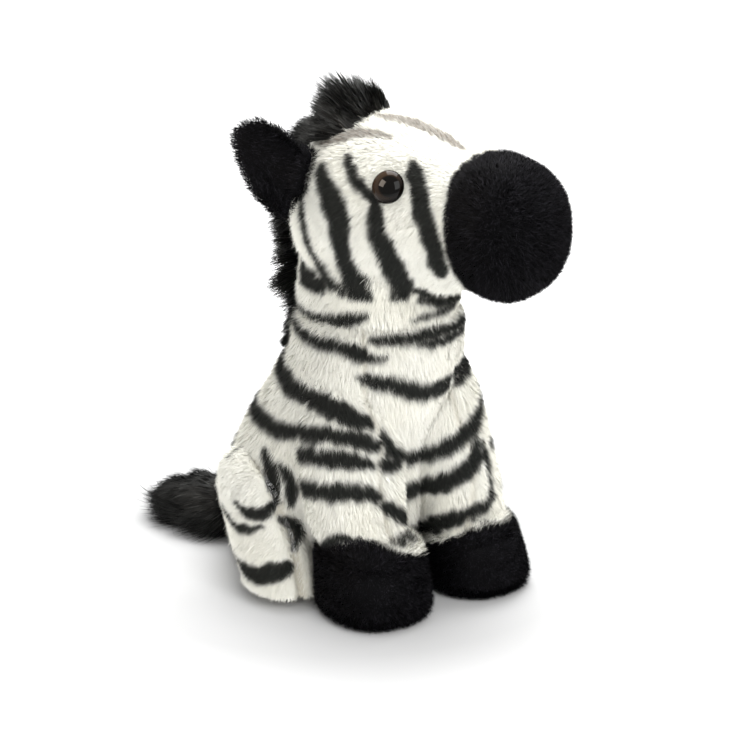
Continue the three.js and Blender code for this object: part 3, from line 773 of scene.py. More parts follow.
@dataclass(frozen=True)
class Coat:
    """The stripes of one form and the places of its seams, in degrees round it and millimetres along it."""

    bands: tuple[Band, ...]
    # Mean radius of the form, which turns degrees into millimetres
    radius: float
    seams: tuple[tuple[tuple[float, float], ...], ...] = ()
    # Millimetres from a seam line over which its pile is darkened by painted shade, which also grows deeper with it
    valley: float = 1.5

    def reach(self, angle: Array, along: Array, path: Array) -> Array:
        """Distance to a stroke's edge: the nearest point of each span, less the half width there.

        Args:
            angle: Degrees round the form.
            along: Millimetres along it.
            path: Rows of degrees, millimetres and half width.

        Returns:
            Millimetres to the stroke's edge, negative inside it.
        """
        scale = math.radians(1) * self.radius
        nearest = np.full(len(angle), 1e3)
        for first, last in zip(path[:-1], path[1:]):
            middle = (first[0] + last[0]) / 2
            s = ((angle - middle + 180) % 360 - 180) * scale
            start = np.array([(first[0] - middle) * scale, first[1]])
            span = np.array([(last[0] - middle) * scale, last[1]]) - start
            u, v = s - start[0], along - start[1]
            share = np.clip((u * span[0] + v * span[1]) / max(span @ span, 1e-6), 0, 1)
            gap = np.hypot(u - share * span[0], v - share * span[1])
            nearest = np.minimum(nearest, gap - (first[2] + share * (last[2] - first[2])))
        return nearest

    def ink(self, angle: Array, along: Array, tone: Tone, soft: Array | float) -> Array:
        """How much of one ink lies on each place.

        Args:
            angle: Degrees round the form.
            along: Millimetres along it.
            tone: The ink.
            soft: Millimetres by which the edge is moved at each place.

        Returns:
            From 0, none, to 1, full.
        """
        nearest = np.full(len(angle), 1e3)
        for band in self.bands:
            if band.tone is tone:
                nearest = np.minimum(nearest, self.reach(angle, along, np.array(band.path)))
        return 1 / (1 + np.exp(np.clip((nearest - BLEED + soft) / 0.28, -30, 30)))

    def seam_gap(self, angle: Array, along: Array) -> Array:
        """Distance to the nearest seam line.

        Args:
            angle: Degrees round the form.
            along: Millimetres along it.

        Returns:
            Millimetres to the line.
        """
        nearest = np.full(len(angle), 1e3)
        for seam in self.seams:
            path = np.array([(*row, 0.0) for row in seam])
            nearest = np.minimum(nearest, self.reach(angle, along, path))
        return nearest


# Pile


@dataclass(frozen=True)
class Strand:
    """How one strand is laid out in rows of places, root and tip being one place each."""

    # Share of the length at which each row stands, and its half width as a share of the strand's
    shares: tuple[float, ...]
    widths: tuple[float, ...]
    faces: tuple[tuple[int, int, int], ...]
    # Where each place lies in the strand's own square of the UV map
    cell: tuple[tuple[float, float], ...]


KITE = Strand(
    shares=(0.0, 0.5, 1.0),
    widths=(0.0, 0.5, 0.0),
    faces=((0, 2, 1), (1, 2, 3)),
    cell=((0.5, 0.08), (0.12, 0.5), (0.88, 0.5), (0.5, 0.92)),
)
BLADE = Strand(
    shares=(0.0, 0.34, 0.7, 1.0),
    widths=(0.0, 0.5, 0.42, 0.0),
    faces=((0, 2, 1), (1, 2, 4), (1, 4, 3), (3, 4, 5)),
    cell=((0.5, 0.08), (0.14, 0.36), (0.86, 0.36), (0.2, 0.68), (0.8, 0.68), (0.5, 0.92)),
)


@dataclass(frozen=True)
class Pile:
    """Strands of pile, each a folded kite of two triangles or a long blade of four."""

    finish: PileFinish
    # Mean length, strands in a square millimetre, and width at the widest
    length: float
    density: float
    width: float
    # Degrees above the skin at the root and at the tip
    rise: float
    lie: float
    # Size of a lock of strands, and the share by which its tips are drawn to its middle
    lock: float
    pull: float
    # Random sideways share of the length at the tip
    stray: float = 0.14
    strand: Strand = KITE
    # Share of a strand's own run over which its colour follows the printed pattern
    print_depth: float = 0.8
    # Degrees by which whole locks turn from the nap, and the share by which they differ in length
    swirl: float = 14.0
    tuft: float = 0.24

    def scatter(self, skin: Mesh, seed: int) -> tuple[Array, Array, Array]:
        """Scatters roots over a skin, evenly by area.

        Args:
            skin: Places and triangles.
            seed: Seed of the scatter.

        Returns:
            The roots, the skin's normals there, and a random number from 0 to 1 of each, to thin them by.
        """
        rng = np.random.default_rng(seed)
        points, faces = skin
        normals = vertex_normals(points, faces)
        corners = points[faces]
        across = np.cross(corners[:, 1] - corners[:, 0], corners[:, 2] - corners[:, 0])
        total = np.cumsum(np.linalg.norm(across, axis=1) / 2)
        count = int(total[-1] * self.density)
        pick = np.searchsorted(total, (np.arange(count) + rng.random(count)) / count * total[-1])
        pick = np.minimum(pick, len(faces) - 1)
        u, v = rng.random(count), rng.random(count)
        flip = u + v > 1
        u, v = np.where(flip, 1 - u, u), np.where(flip, 1 - v, v)
        shares = np.stack([1 - u - v, u, v], axis=1)[:, :, None]
        root = (points[faces[pick]] * shares).sum(1)
        return root, unit((normals[faces[pick]] * shares).sum(1)), rng.random(count)

    def spines(
        self, rng: np.random.Generator, root: Array, normal: Array, nap: Array, scale: Array | float, seed: int
    ) -> list[Array]:
        """Middle lines of the strands: a strand leaves its root steeply, bends over and lies along the nap.

        Args:
            rng: Source of the random numbers.
            root: Roots in millimetres.
            normal: The skin's normals there.
            nap: Directions in which the pile is brushed.
            scale: Share of the mean length for each strand.
            seed: Seed of the locks.

        Returns:
            The strands' middles at each share of their length, from root to tip.
        """
        count = len(root)
        centre, mood = cell_centres(root, self.lock, seed)
        length = self.length * scale * rng.uniform(0.72, 1.18, count) * (1 + self.tuft * (mood - 0.5))
        comb = unit(tangential(nap, normal))
        turn = np.radians(self.swirl * (mood - 0.5) + rng.normal(0, 8, count))[:, None]
        comb = comb * np.cos(turn) + np.cross(normal, comb) * np.sin(turn)
        wave = 6 * ripple(root, 17.0, seed + 5) + rng.normal(0, 7, count)
        rise = np.radians(np.clip(self.rise + wave, 5, 88))[:, None]
        lie = np.radians(np.clip(self.lie + wave, -8, 85))[:, None]
        low = normal * np.sin(rise) + comb * np.cos(rise)
        high = normal * np.sin(lie) + comb * np.cos(lie)
        toward = tangential(centre - root, normal) * self.pull
        loose = tangential(rng.normal(size=(count, 3)), normal) * (self.stray * length)[:, None]
        path = []
        for share in self.strand.shares:
            bend = 0.5 * share**1.5 * share
            step = low * (share - bend) + high * bend
            sunk = root - ROOT_DEPTH * normal * (1 - share)
            path.append(sunk + length[:, None] * step + (toward + loose) * share**1.4)
        return path

    def grow(
        self,
        name: str,
        body: str,
        root: Array,
        normal: Array,
        nap: Array,
        colour: Callable[[Array, Array], Array],
        scale: Array | float,
        seed: int,
    ) -> bpy.types.Object:
        """Grows the strands, as one dressed mesh of ribbons, each turned at random about its middle line.

        Args:
            name: Name of the piece.
            body: The body that it rides on.
            root: Roots in millimetres.
            normal: The skin's normals there.
            nap: Directions in which the pile is brushed.
            colour: Gives the colours for the strands' middles and a random number from 0 to 1 of each.
            scale: Share of the mean length for each strand.
            seed: Seed of the random numbers.

        Returns:
            The piece.
        """
        rng = np.random.default_rng(seed)
        count = len(root)
        path = self.spines(rng, root, normal, nap, scale, seed)
        heading = unit(path[-1] - path[0])
        side = unit(np.cross(heading, normal))
        spin = np.radians(rng.uniform(-55, 55, count))[:, None]
        side = side * np.cos(spin) + np.cross(heading, side) * np.sin(spin)
        wide = (self.width * rng.uniform(0.75, 1.25, count))[:, None]
        soft = unit(normal + 0.15 * rng.normal(size=(count, 3)))
        rows, normals = [path[0]], [soft]
        for place, share in zip(path[1:-1], self.strand.widths[1:-1]):
            rows += [place - side * wide * share, place + side * wide * share]
            normals += [unit(soft - 0.45 * side), unit(soft + 0.45 * side)]
        points = np.stack([*rows, path[-1]], axis=1)
        points[:, :, 2] = np.maximum(points[:, :, 2], FLOOR_CLEARANCE)
        pattern = np.array(self.strand.faces)
        faces = (np.arange(count)[:, None, None] * points.shape[1] + pattern[None]).reshape(-1, 3)
        corners = points[:, pattern[0]]
        across = np.cross(corners[:, 1] - corners[:, 0], corners[:, 2] - corners[:, 0])
        back = np.repeat((across * normal).sum(1) < 0, len(pattern))
        faces[back] = faces[back][:, ::-1]
        piece = put_mesh(name, points.reshape(-1, 3), faces)
        shading = piece.data.attributes.new("custom_normal", "FLOAT_VECTOR", "POINT")
        shading.data.foreach_set("vector", np.stack([*normals, soft], axis=1).astype(np.float32).ravel())
        middle = root + 0.85 * (path[-1] - path[0])
        rolls = np.tile(rng.random(count), len(path))
        spots = np.concatenate([middle + self.print_depth * (place - middle) for place in path])
        pile_colours = colour(spots, rolls).reshape(len(path), count, 3)
        copies = [1] + [2] * (len(path) - 2) + [1]
        set_colours(piece, np.repeat(pile_colours, copies, axis=0).transpose(1, 0, 2).reshape(-1, 3))
        columns = math.ceil(math.sqrt(count))
        corner = np.stack([np.arange(count) % columns, np.arange(count) // columns], axis=1)
        places = (corner[:, None, :] + np.array(self.strand.cell)[None]) / columns
        layer = piece.data.uv_layers.new(name="OFBake")
        layer.data.foreach_set("uv", places.reshape(-1, 2)[faces.ravel()].astype(np.float32).ravel())
        dress(piece, self.finish, body)
        return piece


# Each with its finish, length, density, width, rise, lie, lock and pull, and some with a stray of their own
BODY_PILE = Pile(IVORY_PILE, 7.4, 6.2, 0.27, 66, 18, 3.4, 0.13)
HEAD_PILE = Pile(IVORY_PILE, 6.6, 6.2, 0.27, 60, 15, 3.2, 0.12)
SHORT_PLUSH = Pile(BLACK_PLUSH, 4.3, 9.0, 0.24, 86, 74, 2.0, 0.16, 0.3)
EAR_PLUSH = Pile(BLACK_PLUSH, 4.4, 6.5, 0.26, 66, 30, 2.4, 0.25, 0.25)
MANE_HAIR = Pile(CHARCOAL_HAIR, 17.4, 14.0, 0.26, 84, 70, 6.4, 0.8, 0.08, strand=BLADE, tuft=0.8)
TAIL_HAIR = Pile(CHARCOAL_HAIR, 14.0, 8.0, 0.30, 44, 14, 6.0, 0.45, 0.09, strand=BLADE, tuft=0.5)


def coat_colours(base: Array, ink: Array, shade: Array, roll: Array) -> Array:
    """Mixes ivory pile with an ink and varies the brightness from strand to strand.

    Args:
        base: Colour of the undyed pile for each strand.
        ink: Colour of the ink.
        shade: How much ink lies on each strand.
        roll: A random number from 0 to 1 for each strand.

    Returns:
        The colours.
    """
    fleck = np.where(roll < 0.07, 2.2, 0.75 + 0.5 * roll)[:, None]
    return base * (1 - shade[:, None]) + ink * fleck * shade[:, None]


# Coats, in degrees from straight ahead toward the zebra's right side, and in height


def mirrored(bands: tuple[Band, ...]) -> tuple[Band, ...]:
    """The same stripes on the other side."""
    return tuple(Band(tuple((-a, h, w) for a, h, w in band.path), band.tone) for band in bands)


TORSO_COAT = Coat(
    radius=46.0,
    bands=(
        Band(((150, 134, 1.6), (115, 131, 2.8), (87, 127.6, 3), (66, 127.2, 3.2), (52, 126, 3.5), (47, 124.6, 3.4))),
        Band(((49, 122.8, 2.8), (42, 122.4, 2.3), (35, 122.8, 2), (30, 123.2, 1.2))),
        Band(((42, 131.4, 0.8), (35, 131.2, 2), (20, 131.2, 2.6), (2, 132, 2.6), (-18, 131.4, 2.4), (-45, 130, 2.4),
              (-80, 129, 2.4), (-120, 131, 1.4))),
        Band(((9, 127.8, 1), (0, 127.4, 2.2), (-17, 127, 2.4), (-40, 126, 1.8), (-60, 125, 0.8))),
        Band(((178, 116, 2), (150, 115, 3.4), (128, 110, 3.6), (114, 107.2, 4.2), (101, 105.8, 4.5),
              (88, 102.6, 4.5), (70, 100, 4.2), (54, 98.6, 3))),
        Band(((172, 92, 2), (150, 88, 3.4), (134, 83.2, 4.2), (115, 82.9, 4.4), (95, 81.8, 4.5), (78, 80.8, 4.4),
              (64, 82.6, 4.2), (52, 83.8, 2.2))),
        Band(((45, 113, 1.4), (40, 112.2, 3), (33, 111, 3.8), (23, 109.4, 4), (8, 104.8, 4.3), (-4.3, 102.2, 4.6),
              (-22, 101.9, 4.5), (-36, 103, 4.5), (-48, 106.5, 4), (-75, 108, 4.2), (-110, 104, 4), (-150, 108, 3),
              (-172, 112, 1.5))),
        Band(((16, 70.5, 2.6), (3, 67.8, 3.8), (-14, 69, 3.6), (-26, 71.5, 2.2))),
        Band(((-50, 84, 2), (-85, 83, 4.6), (-115, 78, 4.4), (-145, 84, 3.6), (-172, 90, 1.8))),
        Band(((18, 50.8, 3), (2, 50.8, 4.4), (-16, 51.6, 3.4))),
        Band(((14, 30, 1.6), (-7, 28.7, 3.4), (-22, 30, 2))),
        Band(((85, 69.5, 1.2), (82, 67.1, 2.4), (77, 62.8, 3.2), (73, 58, 3.4), (71, 52, 3))),
        Band(((71, 64, 1.2), (65.5, 60.9, 2.4), (61.5, 55.8, 2.7), (60, 50.5, 2.4), (60, 45, 1.6))),
        Band(((160, 66, 1.6), (138, 64, 3.4), (118, 56, 3.4), (106, 50, 1.6))),
        Band(((-160, 64, 1.6), (-138, 62, 3.4), (-118, 54, 3.4), (-106, 48, 1.6))),
        Band(((176, 40, 1.6), (150, 40, 3.2), (128, 34, 2.6), (116, 30, 1))),
        Band(((-176, 38, 1.6), (-150, 40, 3.2), (-128, 34, 2.6), (-116, 30, 1))),
        Band(((150, 18, 2), (130, 14, 2.8), (112, 12, 1.2))),
        Band(((-150, 18, 2), (-130, 14, 2.8), (-112, 12, 1.2))),
    ),
    seams=(
        ((46, 137), (46, 129.4), (44, 118.9), (39, 105.9), (33, 96), (28, 86)),
        ((-43, 136), (-38, 118), (-36, 104), (-30, 86), (-22, 60)),
        ((180, 5), (180, 120)),
    ),
)

FORELEG_RIGHT_COAT = Coat(
    radius=22.0,
    bands=(
        Band(((132, 105.6, 3), (114, 105.2, 4.3), (98, 102.6, 4.5), (73, 100.2, 4.5), (46, 98.2, 4.4),
              (26, 94.2, 4), (12, 92.2, 3.2), (3, 90.4, 1.6))),
        Band(((125, 84.2, 3.6), (89, 85.4, 3.5), (64, 87.7, 3.7), (39, 87, 3.8), (16, 84.4, 3.4), (-3, 80.4, 2.6),
              (-7, 79.4, 1.2))),
        Band(((-11, 87.2, 1), (-16, 82, 2.8), (-23, 76.6, 3), (-48, 71.4, 2.8), (-80, 70, 2.6))),
        Band(((120, 71.6, 1.8), (108, 73.2, 2.9), (95, 75, 3.6), (80, 76.5, 3.8), (57, 76.9, 4), (34, 76.7, 4),
              (20, 75.3, 3.5), (9, 73.4, 2))),
        Band(((-5, 72.8, 1.8), (-13, 71.8, 3), (-26, 70.4, 3.2), (-37, 68.8, 1.8))),
        Band(((123, 56.2, 2), (110, 58.4, 3.5), (92, 60.4, 4), (60, 62.1, 4.1), (38, 62.8, 4.1), (20, 62, 4),
              (6, 59.8, 3), (-2, 58.4, 1.4))),
        Band(((-3, 54.6, 2.2), (-16, 51.4, 3.6), (-27, 47.8, 3.6), (-52, 43.7, 3.2), (-75, 43, 2))),
        Band(((114, 30.8, 1), (90, 35.4, 1.8), (62, 40.8, 2), (46, 41.8, 1.5))),
        Band(((-9, 38.4, 0.8), (-18, 38.5, 1.8), (-32, 38.2, 1.6), (-46, 37.6, 1))),
    ),
    seams=(((14, 107), (6, 97.6), (-2, 92.1), (-9, 85.3), (-11, 79), (-3, 74), (-2, 66.4), (-2, 58), (-3, 49),
          (-8, 39.4)),),
)

# Degrees round the foreleg and height of the seam between leg and hoof
HOOF_LINES = {
    Side.RIGHT: ((-180, 34), (-60, 29.5), (-32, 30.5), (-10, 35.4), (11, 40.4), (34, 42.6), (60, 40), (82, 35.6),
          (180, 34)),
    Side.LEFT: ((-180, 36), (-82, 36.6), (-38, 35.6), (0, 37.2), (28, 35.8), (43, 33), (57, 29.6), (72, 27),
          (95, 26), (180, 30)),
}

FORELEG_LEFT_COAT = Coat(
    radius=22.0,
    bands=(
        Band(((80, 67.6, 2.8), (57, 68.4, 3.5), (38, 71, 3.8), (18, 74, 3.8), (-4, 77.2, 3.8), (-19, 81.4, 3.6),
              (-38, 86.2, 3.4), (-70, 92, 3.6), (-110, 96, 3.6))),
        Band(((84, 51.4, 3.4), (62, 53, 4.2), (39, 56.6, 4.3), (20, 59.4, 4.3), (2, 61.6, 4.3), (-9, 65.8, 3.8),
              (-13, 71.2, 2.6), (-15, 75.5, 1))),
        Band(((-24, 72, 0.8), (-23, 66, 2.4), (-25, 60, 2.2), (-26, 56, 0.8))),
        Band(((-42, 67, 1.4), (-60, 67, 3.4), (-100, 70, 3.2))),
        Band(((95, 32.2, 2.8), (73, 34.8, 3.4), (45, 39, 3.1), (18, 41.4, 2.6), (-6, 43.2, 2.5), (-16, 46.6, 2.5),
              (-21, 51, 1.6), (-23, 56, 0.8))),
        Band(((-48, 46, 1.4), (-70, 47, 3.2), (-105, 50, 3))),
        Band(((-120, 84, 2.6), (-85, 80, 3.4), (-62, 79, 1.2))),
    ),
    seams=(((7, 96), (4, 83), (-2, 70), (0, 58), (10, 48), (18, 42), (30, 33)),),
)

HIND_RIGHT_COAT = Coat(
    radius=22.0,
    bands=(
        Band(((70, 44.6, 1.3), (62, 42.6, 2.3), (51, 41.2, 2.6), (40, 41.8, 2.6), (28, 43.4, 2.4), (17, 45.7, 2),
              (11, 47, 1.2))),
        Band(((124, 39.5, 1.2), (112, 36.6, 2), (94, 34.2, 2.2), (76, 33.7, 2.1), (60, 34.4, 1.7), (46, 36, 1.1),
              (37, 37.4, 0.6))),
        Band(((126, 18, 1.4), (112, 15.6, 2.8), (90, 14.4, 3.8), (69, 14.9, 4), (47, 16.9, 4), (29, 18.9, 3.6),
              (17, 20.1, 2.8), (11, 20.4, 1.4))),
        Band(((11, 39.8, 1.2), (3, 38.2, 2.4), (-6, 35.6, 3.8), (-4, 32.6, 3), (1, 29.4, 1.6), (5, 26.6, 0.8))),
        Band(((16, 60, 2.6), (14, 57, 3.2), (13, 52, 2.8), (12, 48.5, 1.4))),
        Band(((142, 68, 1.2), (131, 64.9, 1.8), (122, 60.6, 0.8))),
    ),
    seams=(((40, 64), (22, 60), (14, 54), (12, 47), (10, 41.3), (5, 35.7), (3, 29.5), (5, 23.1), (7, 15.6), (6, 4)),),
    valley=2.6,
)

HIND_LEFT_COAT = Coat(
    radius=22.0,
    bands=(*mirrored(HIND_RIGHT_COAT.bands), Band(((-20, 60, 1.6), (-40, 58, 2.6), (-70, 60, 2.4), (-100, 62, 1)))),
    seams=tuple(tuple((-a, h) for a, h in seam) for seam in HIND_RIGHT_COAT.seams),
    valley=HIND_RIGHT_COAT.valley,
)

# Degrees from the top of the head toward its right side, and millimetres ahead of the neck
HEAD_SIDE = (
    Band(((70, -14.5, 0.8), (85, -12.8, 1.7), (95, -11.2, 2.1), (105, -9.6, 2.3), (114, -8.4, 2.4),
          (121, -5.2, 2.4), (127, 0.6, 2.4), (131, 8.6, 1.4))),
    Band(((131, -22, 4.6), (132, -12, 4.6), (130, -4, 3.2))),
    Band(((58, -6, 1.6), (63, -4.4, 3.4), (72, 0.6, 5), (80, 6, 6), (88, 9, 6), (96, 9.6, 5.4), (108, 9.2, 4.8),
          (118, 10, 4.6), (127, 12.8, 4.4), (136, 16.8, 3.8))),
    Band(((49, 5.8, 1.4), (53, 7.8, 2.5), (61, 12.6, 2.7), (67, 18.2, 2.6), (72, 24, 2.6))),
    Band(((73, 25, 1.8), (78, 26.2, 3.4), (92, 28, 4.2), (104, 30.6, 5.2), (118, 33.2, 6), (132, 33.6, 5.8),
          (142, 32.2, 4.6), (148, 31, 2.4))),
    Band(((40, 36.6, 1.8), (46, 39.4, 4), (58, 44.1, 4.3), (73, 48.2, 4.3), (89, 52, 4.3), (104, 54.4, 4.6),
          (123, 54.2, 4.6), (134, 52.4, 2.2))),
)
FOREHEAD_SIDE = Band(
    ((44, -12, 1.2), (41, -9.1, 2.8), (36, -4, 3.3), (30.5, 3.4, 3.2), (27.4, 11, 2.8), (26.6, 18.5, 1.4)), Tone.TAUPE
)
HEAD_COAT = Coat(
    radius=43.0,
    bands=(
        *HEAD_SIDE,
        *mirrored(HEAD_SIDE),
        Band(((146, 37, 3.2), (152, 38.2, 3.2), (158, 37, 2.6), (170, 39, 2.8), (184, 39.3, 2), (192, 39.5, 0.8))),
        FOREHEAD_SIDE,
        *mirrored((FOREHEAD_SIDE,)),
        Band(((10, 4, 2.2), (8, 9, 3.6), (5, 14, 4.2), (4, 21, 4.4), (5, 29, 4.3), (6, 38, 3.8), (8, 45, 2.8),
              (10, 51, 1.2)), Tone.TAUPE),
    ),
)
# Degrees from the top of the muzzle to either side, and millimetres ahead of the neck where the black begins
MUZZLE_LINE = ((0, 57), (40, 55.4), (75, 58), (100, 60.6), (130, 63.5), (180, 64.5))
# Degrees from straight ahead toward the right side, and millimetres above the neck's centre
COLLAR_COAT = Coat(
    radius=40.0,
    bands=(
        Band(((142, 10, 1.4), (118, 6, 2.6), (95, 4.8, 3.2), (78, 5.6, 3.6), (62, 7.8, 3.6), (52, 9.9, 3),
              (45, 11.6, 1.4))),
        Band(((8, 18.4, 1.8), (1, 17, 2.5), (-9, 14.7, 2.5), (-23, 13.6, 2.2), (-36, 12, 1.5), (-46, 10.6, 0.7))),
        Band(((14, 8.4, 0.7), (7, 9.1, 1.5), (-2, 9.6, 1.7), (-16, 10.1, 1.5), (-30, 11, 0.9))),
        Band(((-50, 12, 1.2), (-75, 9, 3), (-100, 10, 3.2), (-135, 15, 1.6))),
    ),
)


# Sewing and dressing


def dress(piece: bpy.types.Object, finish: PileFinish | EyeFinish, body: str) -> None:
    """Gives a piece its material and its body, and reports it.

    Args:
        piece: The piece.
        finish: Its finish, which gives the material.
        body: The body that it rides on.
    """
    piece.data.materials.append(finish.material())
    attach(piece, body)
    LOG.info("%s: %d triangles on %s", piece.name, len(piece.data.polygons), body)


def sew(
    name: str, skin: Mesh, colours: Array, finish: PileFinish, body: str, nodes: list[str]
) -> None:
    """Puts a skin into the scene, coloured and dressed, in the place of CAD nodes.

    Args:
        name: Name of the piece.
        skin: Its places and triangles.
        colours: A colour for each place, or one for all.
        finish: The pile that grows on it.
        body: The body that it rides on.
        nodes: The CAD nodes that it stands for.
    """
    piece = put_mesh(name, *skin)
    set_colours(piece, colours)
    dress(piece, finish, body)
    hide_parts(*nodes)


def wander(place: Array, roll: Array, share: float, size: float, seed: int) -> Array:
    """Millimetres by which a print's edge wanders: smooth noise, and a little more from strand to strand."""
    return share * ripple(place, size, seed) + 0.5 * (roll - 0.5)


def far_lean(sideways: Array, height: Array) -> Array:
    """How far the filling of the left side has settled inward, up to 1.6 mm over 14 mm of height and of width."""
    return 1.6 * rising(sideways, 0, 14) * rising(height, 0, 14)


def ivory_print(coat: Coat, around: Array, along: Array, soft: Array, place: Array, roll: Array) -> Array:
    """Colours of printed pile: undyed ivory in two mixed shades, with the coat's inks on it and painted shade along
    the seams.

    Args:
        coat: The stripes.
        around: Degrees round the form.
        along: Millimetres along it.
        soft: Millimetres by which each strand's edge is moved.
        place: The strands' middles.
        roll: A random number from 0 to 1 for each strand.

    Returns:
        The colours.
    """
    tint = np.clip(0.22 + 0.2 * ripple(place, 31.0, 77) + 0.3 * (roll - 0.5), 0, 1)[:, None]
    base = IVORY * (1 - tint) + IVORY_DEEP * tint
    taupe = coat.ink(around, along, Tone.TAUPE, soft * 1.6) * (0.6 + 0.4 * roll)
    base = base * (1 - taupe[:, None]) + TAUPE * taupe[:, None] * np.where(roll < 0.3, 0.35, 1.0)[:, None]
    # Painted shade along the seams: the pile near a seam line is darkened, most in blue, as if shade fell in the fold
    if coat.seams:
        valley = bell(coat.seam_gap(around, along), coat.valley)[:, None]
        base = base * (1 - valley * coat.valley * np.array([0.10, 0.11, 0.13]))
    shade = coat.ink(around, along, Tone.CHARCOAL, soft)
    return coat_colours(base, CHARCOAL, shade, np.modf(roll * 7.3)[0])


def plush_colour(place: Array, roll: Array) -> Array:
    """Deep black plush, with a few lighter strands."""
    fleck = np.where(roll < 0.12, 5.5, 0.4 + 1.1 * roll)[:, None]
    return BLACK * fleck * (1 + 0.12 * ripple(place, 9.0, 51))[:, None]


def hair_colour(place: Array, roll: Array) -> Array:
    """Charcoal hair, with a few lighter strands."""
    fleck = np.where(roll < 0.1, 3.0, 0.4 + 0.9 * roll)[:, None]
    return HAIR * fleck * (1 + 0.3 * ripple(place, 9.0, 52))[:, None]


class Printed:
    """A stuffed form with a printed coat, measured by degrees round it and by height."""

    form: SoftForm
    coat: Coat

    def coordinates(self, points: Array) -> tuple[Array, Array]:
        """Degrees from straight ahead toward the zebra's right, and height."""
        _, u, v = self.form.locate(points)
        return np.degrees(np.arctan2(-u, -v)), points[:, 2]

    def near_seam(self, points: Array, width: float) -> Array:
        """One on the nearest seam line, falling off over a width to either side."""
        return bell(self.coat.seam_gap(*self.coordinates(points)), width)

    def tucked(self, points: Array, faces: Array, depth: float, width: float) -> Array:
        """Draws a skin in along its seams, by a depth and over a width in millimetres."""
        return points - vertex_normals(points, faces) * (depth * self.near_seam(points, width))[:, None]

    def cloth_colours(self, points: Array) -> Array:
        """The print on the skin itself, without the pile's variation."""
        shade = self.coat.ink(*self.coordinates(points), Tone.CHARCOAL, 0.0)
        return coat_colours(np.tile(IVORY, (len(points), 1)), CHARCOAL, shade, np.full(len(points), 0.5))


# Sub-assemblies


@dataclass
class Torso(Printed):
    """The weighted body with the neck's ball on top."""

    form: SoftForm = SoftForm(
        rows=(
            (0, 0, -0.5, 55, 56),
            (0, 0, 12, 55, 56),
            (0, -2, 44, 57, 56),
            (-1.0, -12.4, 74, 51.6, 48.8),
            (-1.2, -25.2, 100, 45.5, 42.8),
            (-1.0, -34.4, 122, 41.2, 39.0),
            (-0.8, -34.6, 145, 41.0, 38.9),
        ),
        ends=(14, 14),
        blunt=(3.4, 2),
    )
    coat: Coat = TORSO_COAT
    trunk_top: float = 133.0
    underside: float = 0.6
    throat: float = -15.0
    fill: float = 0.75

    @cached_property
    def skin(self) -> Mesh:
        """The trunk and the neck's ball sewn into one skin, tucked in along the seams and flat underneath.

        Returns:
            The places and the triangles.
        """
        trunk, faces = self.form.surface(-INSET, 60, 90)
        trunk[:, 2] = np.minimum(trunk[:, 2], self.trunk_top)
        around, up = np.meshgrid(np.linspace(0, 2 * math.pi, 72, endpoint=False), np.linspace(-1.45, 1.45, 40))
        sphere = np.stack([np.cos(around) * np.cos(up), np.sin(around) * np.cos(up), np.sin(up)], axis=-1)
        radius = NECK_RADIUS - INSET
        ball = closed_tube(NECK + radius * sphere, NECK + np.array([[0, 0, -radius], [0, 0, radius]]))
        points, faces = fused([(trunk, faces), ball], 2.2, 6)
        points[:, 2] = np.maximum(points[:, 2], self.underside)
        return self.tucked(points, faces, 1.4, 2.2), faces

    def pile_colours(self, place: Array, roll: Array) -> Array:
        """The printed coat, with an uneven edge and painted shade along the seams."""
        soft = wander(place, roll, 0.5, 7.0, 21)
        return ivory_print(self.coat, *self.coordinates(place), soft, place, roll)

    def build(self, forelegs: list["Foreleg"], hind_legs: list["HindLeg"]) -> None:
        """Builds the skin and its pile, which is thin where a foreleg or the collar covers it.

        Args:
            forelegs: The two forelegs.
            hind_legs: The two hind legs, under which no pile grows.
        """
        points, _ = self.skin
        nodes = ["torso_cover", "seat_panel"]
        sew("torso_skin", self.skin, self.cloth_colours(points), IVORY_PILE, "torso", nodes)

        def behind(root: Array, limbs: list["Foreleg"] | list["HindLeg"]) -> Array:
            """Which roots a limb covers."""
            return np.any([~limb.form.outside(root, -INSET - 0.2) for limb in limbs], axis=0)

        def under_collar(root: Array) -> Array:
            """Which roots at the throat the collar covers until the head nods up."""
            return (root[:, 2] > 136.5) & (root[:, 1] < self.throat)

        root, normal, roll = BODY_PILE.scatter(self.skin, seed=11)
        # None under the head or a haunch, fewer under the collar and a foreleg, none beneath the seat
        bare = behind(root, hind_legs) | (root[:, 2] > 142.5 + 3 * (root[:, 1] < self.throat))
        cases = [bare, under_collar(root), behind(root, forelegs), root[:, 2] < 1.2]
        kept = roll < np.select(cases, [0.0, 0.55, 0.45, 0.0], 1.0)
        root, normal = root[kept], normal[kept]
        nap = np.array([0.0, -0.12, -1.0])
        lengths = (1 - 0.45 * self.near_seam(root, 3.0)) * (1 - 0.26 * far_lean(root[:, 0], root[:, 2] - 56))
        lengths *= np.where(behind(root, forelegs) | under_collar(root), 0.42, 1.0)
        front, right = root[:, 1] < -20, root[:, 0] < 0
        parts = {"front": front, "back_right": ~front & right, "back_left": ~front & ~right}
        for seed, (name, part) in enumerate(parts.items(), 12):
            label = f"torso_pile_{name}"
            BODY_PILE.grow(label, "torso", root[part], normal[part], nap, self.pile_colours, lengths[part], seed)


